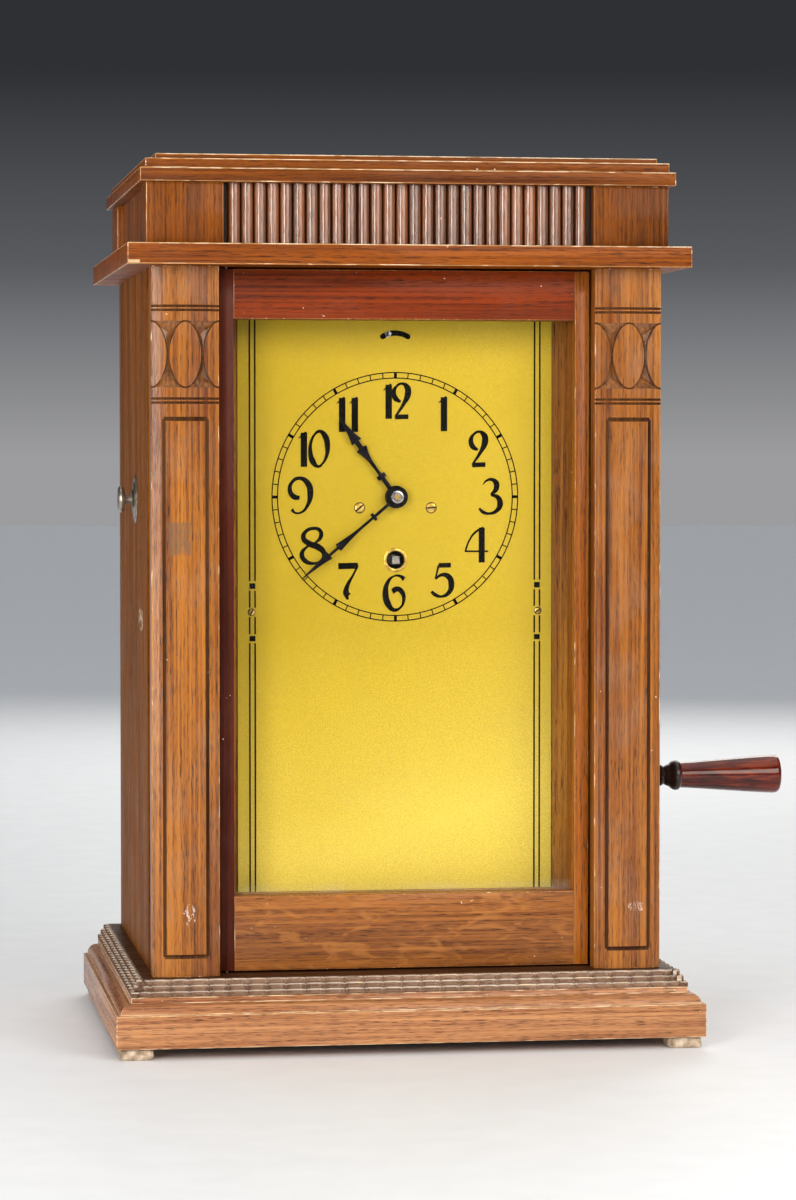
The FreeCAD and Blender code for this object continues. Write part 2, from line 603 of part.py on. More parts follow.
# Door: two stiles, two rails, glass in a rebate behind beads, and pivot pins in bushes.
rebate = board("glass_seat", ("-glass_half", "glass_half"), ("glass_front", "door_back + over_cut"),
               ("glass_low", "glass_high"))
pin_hole = "pivot_radius + press_gap"
low_pin_span = ("base_top - bush_length + contact_gap", "door_low + pivot_length")
high_pin_span = ("door_high - pivot_length", "shelf_under + bush_length - contact_gap")
low_pin_hole = rod("low_pin_hole", "Z", pin_hole, ("door_low - over_cut", "door_low + pivot_length"),
                   ("pivot_x", "pivot_y"))
high_pin_hole = rod("high_pin_hole", "Z", pin_hole, ("door_high - pivot_length", "door_high + over_cut"),
                    ("pivot_x", "pivot_y"))
hinge_stile = new_body("hinge_stile")
pad(hinge_stile, "XY_Plane", [
    ("-opening_half", "door_back"), ("-door_half", "door_back"), ("-door_half", "pivot_y"),
    ("pivot_x", "door_front", "stile_width / 2"), ("-opening_half", "door_front")], "door_high - door_low")
put(hinge_stile, z="door_low")
node(cut("hinge_stile_cut", hinge_stile, rebate, low_pin_hole, high_pin_hole), "door_stile_left")
door_y = ("door_front", "door_back")
stile_blank = board("stile_blank", ("opening_half", "door_half"), door_y, ("door_low", "door_high"))
node(cut("free_stile_cut", stile_blank, rebate), "door_stile_right")
rail_x = ("-opening_half", "opening_half")
top_rail = board("top_rail_blank", rail_x, door_y, ("opening_high", "door_high"))
bottom_rail = board("bottom_rail_blank", rail_x, door_y, ("door_low", "opening_low"))
node(cut("top_rail_cut", top_rail, rebate), "door_top_rail")
node(cut("bottom_rail_cut", bottom_rail, rebate), "door_bottom_rail")
node(board("glass", ("-glass_half + seat_gap", "glass_half - seat_gap"), ("glass_front", "glass_back"),
           ("glass_low + seat_gap", "glass_high - seat_gap")), "door_glass")
bead_y = ("glass_back", "door_back")
bead_low = board("bead_low", ("-glass_half", "glass_half"), bead_y, ("glass_low", "opening_low"))
bead_high = board("bead_high", ("-glass_half", "glass_half"), bead_y, ("opening_high", "glass_high"))
bead_left = board("bead_left", ("-glass_half", "-opening_half"), bead_y, ("opening_low", "opening_high"))
bead_right = board("bead_right", ("opening_half", "glass_half"), bead_y, ("opening_low", "opening_high"))
node(group("bead_group", bead_low, bead_high, bead_left, bead_right), "glass_beads")
low_pin = rod("low_pin", "Z", "pivot_radius", low_pin_span, ("pivot_x", "pivot_y"))
high_pin = rod("high_pin", "Z", "pivot_radius", high_pin_span, ("pivot_x", "pivot_y"))
node(group("pin_group", low_pin, high_pin), "door_pivot_pins")


def bush(label, span):
    """A door bush: a brass tube that a pivot pin runs in."""
    outer = rod(label + "_outer", "Z", "bush_radius", span, ("pivot_x", "pivot_y"))
    bore = rod(label + "_bore", "Z", "pivot_radius + running_gap", span, ("pivot_x", "pivot_y"))
    return cut(label, outer, bore)


node(group("bush_group", bush("low_bush", ("base_top - bush_length", "base_top")),
           bush("high_bush", ("shelf_under", "shelf_under + bush_length"))), "door_pivot_bushes")

# Dial: a brass plate screwed to two wooden battens, with the holes that the movement needs.
batten_inside = "(dial_width / 2 - batten_lap)"
batten = board("batten", ("-panel_inside", f"-{batten_inside}"),
               ("dial_back", "dial_back + batten_thickness"), ("base_top", "shelf_under"))
dial_screw_z = "(dial_centre - dial_screw_drop)"
dial_holes = [rod("dial_screw_hole", "Y", "dial_screw_shank + press_gap",
                  ("dial_front - over_cut", "dial_front + dial_screw_length"),
                  (f"{sign} * dial_screw_x", dial_screw_z)) for sign in ("-1", "1")]
batten_right = mirrored("batten_right", batten, Vector(1, 0, 0))
node(group("batten_group", cut("batten_left_cut", batten, dial_holes[0]),
           cut("batten_right_cut", batten_right, dial_holes[1])), "dial_battens")
dial_span = ("dial_front - over_cut", "dial_back + over_cut")
dial_blank = board("dial_blank", ("-dial_width / 2", "dial_width / 2"), ("dial_front", "dial_back"),
                   ("dial_bottom", "dial_bottom + dial_height"))
centre_hole = rod("centre_hole", "Y", "dial_hole", dial_span, ("0", "dial_centre"))
key_hole = rod("key_hole", "Y", "winding_hole", dial_span, ("0", "winding_z"))
mount_holes = [rod("mount_hole", "Y", "movement_screw_shank + press_gap", dial_span,
                   (f"{sign} * movement_screw_x", "movement_screw_z")) for sign in ("-1", "1")]


def sector(label, radius):
    """A slice of a round bar through the dial, centred upwards and as wide as the regulator's sweep."""
    slice_bar = rod(label, "Y", radius, dial_span, ("0", "regulator_z"))
    size(slice_bar, Angle="2 * regulator_sweep")
    turn = Rotation(Vector(0, 1, 0), -90 - value("regulator_sweep")) * AXIS_TURN["Y"]
    return put(slice_bar, "0", dial_span[0], "regulator_z", turn=turn)


slot_arc = cut("slot_arc", sector("slot_outer", "regulator_radius + regulator_slot / 2"),
               sector("slot_inner", "regulator_radius - regulator_slot / 2"))
slot_ends = [rod("slot_end", "Y", "regulator_slot / 2", dial_span,
                 (f"{sign} * regulator_radius * sin(regulator_sweep * 1deg)",
                  "regulator_z + regulator_radius * cos(regulator_sweep * 1deg)")) for sign in ("-1", "1")]
node(cut("dial_cut", dial_blank, centre_hole, key_hole, slot_arc, *slot_ends, *mount_holes, *dial_holes),
     "dial_plate")
dial_screws = [slotted_screw("dial_screw", "dial_screw_head", "dial_screw_shank", "dial_front",
                             "dial_screw_length", -1, (f"{sign} * dial_screw_x", dial_screw_z))
               for sign in ("-1", "1")]
node(group("dial_screw_group", *dial_screws), "dial_screws")
movement_screws = [slotted_screw("movement_screw", "movement_screw_head", "movement_screw_shank",
                                 "dial_front", "dial_thickness + motion_space / 2", -1,
                                 (f"{sign} * movement_screw_x", "movement_screw_z"))
                   for sign in ("-1", "1")]
node(group("movement_screw_group", *movement_screws), "movement_screws")
grommet = turned("grommet", "Y", [
    ("dial_back", "winding_hole - grommet_wall"), ("dial_back", "winding_hole - press_gap"),
    ("dial_front", "winding_hole - press_gap"), ("dial_front", "grommet_radius"),
    ("dial_front - grommet_rise", "grommet_radius - grommet_rise"),
    ("dial_front - grommet_rise", "winding_hole - grommet_wall")])
put(grommet, z="winding_z")
node(grommet, "winding_grommet")

# Movement plates, their pillars and the two posts that the dial screws reach.
plate_half = "plate_width / 2"
front_blank = board("front_plate_blank", (f"-{plate_half}", plate_half), ("plate_face", "plate_back"),
                    ("dial_centre - plate_drop", "dial_centre + plate_rise"))
rear_blank = board("rear_plate_blank", (f"-{plate_half}", plate_half), ("rear_face", "rear_back"),
                   ("dial_centre - plate_drop", "dial_centre + plate_rise"))
motion_x = "motion_distance * cos(motion_direction * 1deg)"
motion_z = "dial_centre + motion_distance * sin(motion_direction * 1deg)"
stud = rod("minute_stud", "Y", "pivot_hole", ("plate_face - stud_length", "plate_face"), (motion_x, motion_z))
boss_front = "plate_face - regulator_boss_rise"
regulator_boss = rod("regulator_boss", "Y", "regulator_boss", (boss_front, "plate_face"),
                     ("0", "regulator_z"))


def bearing(radius, span, height):
    return rod("bearing", "Y", f"{radius} + running_gap", span, ("0", height))


front_span = (f"{boss_front} - over_cut", "plate_back + over_cut")
rear_span = ("rear_face - over_cut", "rear_back + over_cut")
front_holes = [bearing("arbor_radius", front_span, "dial_centre"),
               bearing("winding_arbor_radius", front_span, "winding_z"),
               bearing("pivot_hole", front_span, "third_z"), bearing("staff_radius", front_span, "escape_z"),
               bearing("staff_radius", front_span, "regulator_z")]
rear_holes = [bearing("arbor_radius", rear_span, "dial_centre"),
              bearing("winding_arbor_radius", rear_span, "winding_z"),
              bearing("pivot_hole", rear_span, "third_z"), bearing("staff_radius", rear_span, "regulator_z")]
node(cut("front_plate_cut", join("front_plate_join", front_blank, stud, regulator_boss), *front_holes),
     "movement_front_plate")
node(cut("rear_plate_cut", rear_blank, *rear_holes), "movement_back_plate")
pillars = [rod("pillar", "Y", "pillar_radius", ("plate_back", "rear_face"),
               (f"{sign} * ({plate_half} - pillar_edge)", height))
           for sign in ("-1", "1") for height in ("dial_centre - plate_drop + pillar_edge",
                                                  "dial_centre + plate_rise - pillar_edge")]
for sign in ("-1", "1"):
    place = (f"{sign} * movement_screw_x", "movement_screw_z")
    screw_bore = rod("screw_bore", "Y", "movement_screw_shank + press_gap",
                     ("dial_back", "dial_back + motion_space / 2"), place)
    post_blank = rod("dial_post_blank", "Y", "pillar_radius", ("dial_back", "plate_face"), place)
    pillars.append(cut("dial_post", post_blank, screw_bore))
node(group("pillar_group", *pillars), "movement_pillars")

# Escapement housing: an open-backed box between the plates. It holds the lever escapement.
housing_front = "plate_back + housing_layer"
housing_back = f"{housing_front} + housing_depth"
housing_z = ("dial_centre + housing_bottom", "dial_centre + housing_bottom + housing_height")
housing_outer = board("housing_outer", ("-housing_width / 2", "housing_width / 2"),
                      (housing_front, housing_back), housing_z)
housing_inner = board("housing_inner",
                      ("-housing_width / 2 + housing_wall", "housing_width / 2 - housing_wall"),
                      (f"{housing_front} + housing_wall", f"{housing_back} + over_cut"),
                      (f"{housing_z[0]} + housing_wall", f"{housing_z[1]} - housing_wall"))
housing_span = (f"{housing_front} - over_cut", housing_back)
housing_holes = [bearing("staff_radius", housing_span, "escape_z"),
                 bearing("staff_radius", housing_span, "regulator_z")]
lug_z = (f"{housing_z[1]} - housing_lug", housing_z[1])
lug_edge = "housing_width / 2 + housing_foot"
housing_lugs = [board("housing_lug", x, ("plate_back", housing_back), lug_z)
                for x in ((f"-({lug_edge})", "-housing_width / 2"), ("housing_width / 2", lug_edge))]
node(cut("housing_cut", join("housing_join", housing_outer, *housing_lugs), housing_inner, *housing_holes),
     "escapement_housing")

# Going train. Each wheel's own Z starts at the front plate's inner face and runs to the back.
train_module = 2 * value("winding_drop") / (SIZES["barrel_teeth"] + SIZES["centre_leaves"])
third_module = 2 * value("third_rise") / (SIZES["centre_teeth"] + SIZES["third_leaves"])
escape_module = 2 * value("escape_rise - third_rise") / (SIZES["third_teeth"] + SIZES["escape_leaves"])
up = facing("Y", 0, 1)
down = facing("Y", 0, -1)


def gap_towards(angle, teeth):
    """The phase that points a gap between two teeth along an angle."""
    return angle + 180 / teeth


far_end = "plate_gap + plate_thickness"
drum_end = "barrel_layer + barrel_gear + barrel_length"
barrel = toothed(train_module, SIZES["barrel_teeth"], "barrel_layer", "barrel_layer + barrel_gear", up)
barrel = barrel.fuse(disc("barrel_radius", "barrel_layer + barrel_gear", drum_end))
barrel = barrel.cut(disc("winding_arbor_radius + running_gap", "0", f"{drum_end} + over_cut"))
node(made("barrel", barrel, "Y", 0, "plate_back", "winding_z"), "mainspring_barrel")

square_side = value("winding_square")
square_front = "dial_front - square_rise - plate_back"
square_back = "-plate_thickness - square_foot"
square = Part.makeBox(square_side, square_side, value(f"{square_back} - ({square_front})"),
                      Vector(-square_side / 2, -square_side / 2, value(square_front)))
winding = square.fuse(disc("winding_arbor_radius", square_back, far_end))
node(made("winding", winding, "Y", 0, "plate_back", "winding_z"), "winding_arbor")

centre = disc("arbor_radius", "-plate_thickness", far_end)
centre = centre.fuse(disc("pivot_hole", "nut_front - arbor_tip - plate_back", "-plate_thickness"))
centre = centre.fuse(toothed(train_module, SIZES["centre_leaves"], "centre_pinion_layer",
                             "centre_pinion_layer + centre_pinion_length",
                             gap_towards(down, SIZES["centre_leaves"])))
centre = centre.fuse(toothed(third_module, SIZES["centre_teeth"], "centre_layer",
                             "centre_layer + wheel_thickness", up))
node(made("centre", centre, "Y", 0, "plate_back", "dial_centre"), "centre_wheel")

third = disc("pivot_hole", "-plate_thickness", far_end)
third = third.fuse(toothed(third_module, SIZES["third_leaves"], "third_pinion_layer",
                           "third_pinion_layer + third_pinion_length",
                           gap_towards(down, SIZES["third_leaves"])))
third = third.fuse(toothed(escape_module, SIZES["third_teeth"], "third_layer",
                           "third_layer + wheel_thickness", up))
node(made("third", third, "Y", 0, "plate_back", "third_z"), "third_wheel")

escape = disc("staff_radius", "-plate_thickness", "housing_layer + housing_wall + over_cut")
escape = escape.fuse(toothed(escape_module, SIZES["escape_leaves"], "escape_layer",
                             "escape_layer + escape_length",
                             gap_towards(down, SIZES["escape_leaves"])))
node(made("escape", escape, "Y", 0, "plate_back", "escape_z"), "escape_pinion")

balance_front = "housing_layer + housing_depth + balance_gap"
balance_span = (balance_front, f"{balance_front} + balance_thickness")
balance = disc("balance_radius", *balance_span).cut(disc("balance_radius - balance_rim", *balance_span))
spoke_length = 2 * value("balance_radius") - value("balance_rim")
spoke_width = value("balance_rim")
spoke = Part.makeBox(spoke_length, spoke_width, value("balance_thickness"),
                     Vector(-spoke_length / 2, -spoke_width / 2, value(balance_front)))
balance = balance.fuse([spoke, disc("staff_radius", "-plate_thickness", far_end)])
node(made("balance", balance, "Y", 0, "plate_back", "regulator_z"), "balance_wheel")

# Motion work between the dial and the front plate. Own Z starts at the plate and runs back.
cannon_module = 2 * value("motion_distance") / (SIZES["cannon_leaves"] + SIZES["minute_teeth"])
hour_module = 2 * value("motion_distance") / (SIZES["minute_leaves"] + SIZES["hour_teeth"])
motion_angle = math.radians(SIZES["motion_direction"])
out = facing("Y", math.cos(motion_angle), math.sin(motion_angle))
back_to_centre = out + 180
cannon = disc("cannon_radius", "minute_front - seat_gap - plate_face", "-cannon_layer")
cannon = cannon.fuse(toothed(cannon_module, SIZES["cannon_leaves"], "-cannon_layer - cannon_length",
                             "-cannon_layer", out))
cannon = cannon.cut(disc("pivot_hole + press_gap", "minute_front - over_cut - plate_face", "0"))
node(made("cannon", cannon, "Y", 0, "plate_face", "dial_centre"), "cannon_pinion")

pinion_end = "-minute_layer - minute_wheel_length"
minute = toothed(cannon_module, SIZES["minute_teeth"], pinion_end, "-minute_layer",
                 gap_towards(back_to_centre, SIZES["minute_teeth"]))
minute = minute.fuse(toothed(hour_module, SIZES["minute_leaves"],
                             f"{pinion_end} - minute_pinion_length", pinion_end,
                             gap_towards(back_to_centre, SIZES["minute_leaves"])))
minute = minute.cut(disc("pivot_hole + running_gap", "-stud_length - over_cut", "0"))
node(made("minute", minute, "Y", motion_x, "plate_face", motion_z), "minute_wheel")

hour = toothed(hour_module, SIZES["hour_teeth"], "-hour_layer - wheel_thickness", "-hour_layer", out)
hour = hour.fuse(disc("hour_pipe", "hour_front - seat_gap - plate_face", "-hour_layer"))
hour = hour.cut(disc("cannon_radius + running_gap", "hour_front - over_cut - plate_face", "0"))
node(made("hour", hour, "Y", 0, "plate_face", "dial_centre"), "hour_wheel")


def hand(name, bore_radius, back_y):
    """A flat steel hand with a cross knob, a flared shoulder and a barbed tip, pointing up."""
    def named(text):
        return text.replace("#", name)
    side_points = [
        ("#_stem / 2", "hub_radius - 1"), ("#_stem / 2", "#_knob_at - #_knob_length / 2"),
        ("#_knob_width / 2", "#_knob_at - #_knob_length / 2"),
        ("#_knob_width / 2", "#_knob_at + #_knob_length / 2"),
        ("#_waist / 2", "#_knob_at + #_knob_length / 2"), ("#_swell_width / 2", "#_swell_at"),
        ("#_flare_width / 2", "#_flare_at"), ("#_neck / 2", "#_flare_at"), ("#_neck / 2", "#_barb_at"),
        ("#_barb_width / 2", "#_barb_at"), ("#_taper_width / 2", "#_taper_at"), ("hand_tip / 2", "#_length")]
    right = [(named(x), named(z)) for x, z in side_points]
    left = [(f"-({x})", z) for x, z in reversed(right)]
    body = new_body(name + "_blade")
    pad(body, "XZ_Plane", right + left, "hand_thickness", away=True)
    put(body, 0, back_y, "dial_centre", turn=Rotation(Vector(0, 1, 0), SIZES[name + "_angle"]))
    span = (back_y, f"{back_y} + hand_thickness")
    hub = rod(name + "_hub", "Y", "hub_radius", span, ("0", "dial_centre"))
    hole = rod(name + "_hole", "Y", bore_radius, span, ("0", "dial_centre"))
    return node(cut(name + "_cut", join(name + "_join", body, hub), hole), name + "_hand")


hand("hour", "hour_pipe", "hour_front")
hand("minute", "cannon_radius", "minute_front")
nut = turned("nut", "Y", [
    ("nut_front + nut_thickness", "pivot_hole + press_gap"), ("nut_front + nut_thickness", "nut_radius"),
    ("nut_front + nut_bevel", "nut_radius"), ("nut_front", "nut_radius - nut_bevel"),
    ("nut_front", "pivot_hole + press_gap")])
put(nut, z="dial_centre")
node(nut, "hand_nut")

# Regulator lever on the front plate's boss, with a pin that shows in the dial's curved slot.
lever_span = ("plate_face - regulator_layer", "plate_face - regulator_layer + regulator_thickness")
ring = rod("regulator_ring", "Y", "regulator_boss + regulator_ring", lever_span, ("0", "regulator_z"))
arm = board("regulator_arm", ("-regulator_arm / 2", "regulator_arm / 2"), lever_span,
            ("regulator_z", "regulator_z + regulator_radius + regulator_arm / 2"))
pin = rod("regulator_tip", "Y", "regulator_pin", ("dial_front - regulator_pin_rise", lever_span[1]),
          ("0", "regulator_z + regulator_radius"))
regulator_bore = rod("regulator_bore", "Y", "regulator_boss + running_gap",
                     (f"{boss_front} - over_cut", "plate_face"), ("0", "regulator_z"))
regulator = cut("regulator_upright", join("regulator_join", ring, arm, pin), regulator_bore)
turn_centre = Vector(0, 0, value("regulator_z"))
regulator.Placement = Placement(Vector(), Rotation(Vector(0, 1, 0), SIZES["regulator_rest"]), turn_centre)
node(regulator, "regulator_lever")

# Crank: flanged bush, shaft with its gear, forged arm with the grip's spindle, and the turned grip.
crank_bush = turned("crank_bush_turned", "X", [
    ("panel_inside", "crank_shaft_radius + running_gap"), ("panel_inside", bush_outer),
    ("panel_face", bush_outer), ("panel_face", "bush_flange"),
    ("panel_face + flange_thickness", "bush_flange - flange_bevel"),
    ("panel_face + flange_thickness", "crank_shaft_radius + running_gap")])
put(crank_bush, z="crank_height")
node(crank_bush, "crank_bush")

crank_to_motor = math.hypot(value("motor_back"), value("motor_drop"))
works_module = 2 * crank_to_motor / (SIZES["crank_teeth"] + SIZES["winding_teeth"])
to_motor = facing("X", value("motor_back"), -value("motor_drop"))
shaft = disc("frame_pivot", "frame_inner_x", "motor_gear_x")
shaft = shaft.fuse(disc("crank_shaft_radius", "motor_gear_x", "arm_face"))
shaft = shaft.fuse(toothed(works_module, SIZES["crank_teeth"], "works_gear_x",
                           "works_gear_x + works_gear", to_motor))
node(made("shaft", shaft, "X", 0, 0, "crank_height"), "crank_shaft")

arm_span = ("arm_face", "arm_outside")
crank_hub = rod("crank_hub", "X", "crank_hub", arm_span, ("0", "crank_height"))
crank_tip = rod("crank_tip", "X", "crank_end", arm_span, ("0", "grip_z"))
crank_bar = board("crank_bar", arm_span, ("-crank_end", "crank_end"), ("grip_z", "crank_height"))
spindle = rod("spindle", "X", "spindle_radius", ("arm_face", "arm_outside + spindle_length"), ("0", "grip_z"))
node(join("crank_join", crank_hub, crank_tip, crank_bar, spindle), "crank_arm")

grip_bore = "spindle_radius + running_gap"
bore_end = "arm_outside + spindle_length + grip_end_gap"
grip = turned("grip_turned", "X", [
    ("grip_neck_x", grip_bore), ("grip_neck_x", "grip_neck"), ("collar_x - grip_neck_flare", "grip_neck"),
    ("collar_x", "grip_collar"), ("grip_x", "grip_collar"), ("grip_x + grip_shoulder", "grip_start"),
    ("grip_far - grip_round", "grip_end"), ("grip_far", "grip_end - grip_round"), ("grip_far", "0"),
    (bore_end, "0"), (bore_end, grip_bore)])
put(grip, z="grip_z")
node(grip, "crank_grip")

# Speech works: frame plates on the base board, with bearings for the shafts that run along X.
frame_y = ("frame_front", "frame_back")
frame_z = ("base_top", "frame_top")


def frame_plate(label, x, y, holes):
    """An upright plate with running holes; holes are (radius, (y, z))."""
    span = (f"{x} - over_cut", f"{x} + frame_thickness + over_cut")
    tools = [rod(label + "_hole", "X", f"{radius} + running_gap", span, place) for radius, place in holes]
    return cut(label, board(label + "_blank", (x, f"{x} + frame_thickness"), y, frame_z), *tools)


crank_place = ("0", "crank_height")
motor_place = ("motor_back", "motor_z")
roller_place = ("0", "roller_z")
idler_place = ("0", "idler_height")
inner_places = (crank_place, motor_place, roller_place, idler_place)
inner_plate = frame_plate("inner_plate", "frame_inner_x", frame_y,
                          [("frame_pivot", place) for place in inner_places])
outer_plate = frame_plate("outer_plate", "frame_outer_x", frame_y,
                          [("crank_shaft_radius", crank_place), ("frame_pivot", motor_place)])
left_bracket = frame_plate("left_bracket", "bracket_x", ("-bracket_half", "bracket_half"),
                           [("frame_pivot", roller_place), ("frame_pivot", idler_place)])
pillar_span = ("frame_inner_x + frame_thickness", "frame_outer_x")
frame_pillars = [rod("frame_pillar", "X", "frame_pillar", pillar_span, (y, z))
                 for y in ("frame_front + frame_pillar_edge", "frame_back - frame_pillar_edge")
                 for z in ("base_top + frame_pillar_rise", "frame_top - frame_pillar_edge")]
cheek_inside = "(lever_half + lever_play)"
cheek_outside = f"({cheek_inside} + lever_bracket)"
bracket_z = ("lever_pivot - lever_cheek", "lever_pivot + lever_cheek")
cheeks = [board("cheek", ("-panel_inside", "lever_right + lever_bracket"), y, bracket_z)
          for y in ((f"-{cheek_outside}", f"-{cheek_inside}"), (cheek_inside, cheek_outside))]
bridge = board("bridge", ("-panel_inside", "-panel_inside + lever_bracket"),
               (f"-{cheek_inside}", cheek_inside), bracket_z)
lever_hole = rod("lever_hole", "Y", "lever_pin + running_gap",
                 (f"-{cheek_outside} - over_cut", f"{cheek_outside} + over_cut"), ("lever_x", "lever_pivot"))
lever_bracket = cut("lever_bracket_cut", join("lever_bracket_join", *cheeks, bridge), lever_hole)
node(group("frame_group", inner_plate, outer_plate, left_bracket, *frame_pillars, lever_bracket),
     "works_frame")

winding_wheel = disc("frame_pivot", "frame_inner_x", "frame_outer_x + frame_thickness")
winding_wheel = winding_wheel.fuse(disc("motor_arbor", "motor_gear_x", "works_gear_x"))
winding_wheel = winding_wheel.fuse(toothed(works_module, SIZES["winding_teeth"], "works_gear_x",
                                           "works_gear_x + works_gear",
                                           gap_towards(to_motor + 180, SIZES["winding_teeth"])))
node(made("winding_wheel", winding_wheel, "X", 0, "motor_back", "motor_z"), "motor_winding_wheel")

motor_to_roller = math.hypot(value("motor_back"), value("roller_drop"))
motor_module = 2 * motor_to_roller / (SIZES["motor_teeth"] + SIZES["roller_leaves"])
to_roller = facing("X", -value("motor_back"), -value("roller_drop"))
drum_far = "motor_drum_x + motor_length"
motor = toothed(motor_module, SIZES["motor_teeth"], "motor_gear_x", "motor_drum_x", to_roller)
motor = motor.fuse(disc("motor_radius", "motor_drum_x", drum_far))
motor = motor.cut(disc("motor_arbor + running_gap", "motor_gear_x - over_cut", f"{drum_far} + over_cut"))
node(made("motor", motor, "X", 0, "motor_back", "motor_z"), "motor_barrel")

drive = disc("roller_radius", "roller_left", "roller_right")
drive = drive.fuse(disc("frame_pivot", "bracket_x", "motor_drum_x + roller_lap"))
drive = drive.fuse(toothed(motor_module, SIZES["roller_leaves"], "motor_gear_x - roller_lap",
                           "motor_drum_x + roller_lap", gap_towards(to_roller + 180, SIZES["roller_leaves"])))
node(made("drive", drive, "X", 0, 0, "roller_z"), "drive_roller")

brake_left = "lever_right + contact_gap"
idler_drum = rod("idler_drum", "X", "roller_radius", ("roller_left", "roller_right"), idler_place)
idler_shaft = rod("idler_shaft", "X", "frame_pivot", (brake_left, "frame_inner_x + frame_thickness"),
                  idler_place)
brake_disc = rod("brake_disc", "X", "brake_radius", (brake_left, f"{brake_left} + brake_thickness"),
                 idler_place)
node(join("idler_join", idler_drum, idler_shaft, brake_disc), "idler_roller")


def band(label, radius):
    """The space inside a band round the two rollers."""
    span = ("belt_left", "belt_right")
    return join(label, rod(label + "_top", "X", radius, span, idler_place),
                rod(label + "_bottom", "X", radius, span, roller_place),
                board(label + "_run", span, (f"-({radius})", radius), ("roller_z", "idler_height")))


node(cut("belt_cut", band("belt_outside", "belt_outer"), band("belt_inside", "belt_inner")), "record_belt")

# Sound box with its needle, and a horn on a stand that opens towards the back panel's slots.
horn_place = ("horn_x", "horn_z")
needle = rod("needle", "Y", "needle_radius", ("belt_outer + contact_gap", "sound_box_back"), horn_place)
sound_can = rod("sound_can", "Y", "sound_box_radius", ("sound_box_front", "sound_box_back"), horn_place)


def horn_cone(label, extra):
    cone = doc.addObject("Part::Cone", label)
    size(cone, Radius1=f"horn_throat + ({extra})", Radius2=f"horn_mouth + ({extra})", Height="horn_length")
    return put(cone, "horn_x", "sound_box_back", "horn_z", turn=AXIS_TURN["Y"])


horn = cut("horn_shell", horn_cone("horn_outside", "0"), horn_cone("horn_inside", "-horn_wall"))
stand_blank = board("stand_blank", ("horn_x - stand_width / 2", "horn_x + stand_width / 2"),
                    ("sound_box_back + stand_back", "sound_box_back + stand_back + stand_width"),
                    ("base_top", "horn_z"))
stand = cut("horn_stand", stand_blank, horn_cone("horn_seat", "-horn_wall / 2"))
node(join("horn_join", needle, sound_can, horn, stand), "sound_horn")

# Push button in its rosette, and the start lever that it rocks off the brake disc.
rosette = turned("rosette_turned", "X", [
    ("-panel_inside", "button_stem + running_gap"), ("-panel_inside", "rosette_tube"),
    ("-panel_face", "rosette_tube"), ("-panel_face", "rosette_radius"),
    ("-panel_face - rosette_thickness", "rosette_radius - rosette_bevel"),
    ("-panel_face - rosette_thickness", "rosette_boss"),
    ("-panel_face - rosette_boss_rise", "rosette_boss - rosette_bevel / 2"),
    ("-panel_face - rosette_boss_rise", "button_stem + running_gap")])
put(rosette, z="button_height")
node(rosette, "knob_rosette")
button_outer = "button_inner - button_thickness"
stop_near = "-panel_inside + button_play"
stop_far = f"{stop_near} + button_collar_length"
button = turned("button_turned", "X", [
    (button_outer, "0"), (button_outer, "button_radius - button_bevel"),
    (f"{button_outer} + button_bevel", "button_radius"), ("button_inner", "button_radius"),
    ("button_inner", "button_stem"), (stop_near, "button_stem"), (stop_near, "button_collar"),
    (stop_far, "button_collar"), (stop_far, "button_stem"),
    ("lever_left - contact_gap", "button_stem"), ("lever_left - contact_gap", "0")])
put(button, z="button_height")
node(button, "push_button")
lever_bar = board("lever_bar", ("lever_left", "lever_right"), ("-lever_half", "lever_half"),
                  ("lever_bottom", "lever_top"))
lever_pin = rod("lever_pin", "Y", "lever_pin", (f"-{cheek_outside}", cheek_outside),
                ("lever_x", "lever_pivot"))
node(join("lever_join", lever_bar, lever_pin), "start_lever")

doc.recompute()
for item in doc.Objects:
    if "Invalid" in item.State or "Error" in item.State:
        raise RuntimeError(f"{item.Label} did not rebuild: {item.State}")
for item in NODES:
    if item.Shape.isNull() or not item.Shape.isValid() or not item.Shape.Solids:
        raise RuntimeError(f"{item.Label} has no valid solid")

os.makedirs("parts", exist_ok=True)
for item in NODES:
    item.Shape.exportStep(f"parts/{item.Label}.step")
print(len(NODES), "nodes written")
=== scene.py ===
import math

import bmesh
import bpy
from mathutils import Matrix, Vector


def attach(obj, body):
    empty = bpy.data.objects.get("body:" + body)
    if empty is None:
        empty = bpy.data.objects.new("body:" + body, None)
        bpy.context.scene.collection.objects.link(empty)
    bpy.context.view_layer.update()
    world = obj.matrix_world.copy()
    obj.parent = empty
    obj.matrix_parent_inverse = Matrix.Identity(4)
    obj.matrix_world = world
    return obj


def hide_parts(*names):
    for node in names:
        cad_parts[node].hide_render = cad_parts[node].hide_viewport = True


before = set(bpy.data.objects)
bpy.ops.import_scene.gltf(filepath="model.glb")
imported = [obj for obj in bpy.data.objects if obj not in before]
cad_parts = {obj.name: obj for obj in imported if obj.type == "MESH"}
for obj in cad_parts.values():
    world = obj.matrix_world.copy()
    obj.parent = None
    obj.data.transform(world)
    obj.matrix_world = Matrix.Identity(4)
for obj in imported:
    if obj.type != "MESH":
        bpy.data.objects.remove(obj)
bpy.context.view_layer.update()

# FEET
# Four square pads of pale bare wood under the corners of the base, sawn from a strip and glued on.
# Years of sliding over tables have rounded and frayed them.

MM = 0.001
FOOT_SIDE = 16.5
FOOT_HEIGHT = 5.5
CRUMBLE = 0.5
FOOT_PLACES = [(-131.25, -112.75), (131.25, -112.75), (-131.25, 100.25), (131.25, 100.25)]


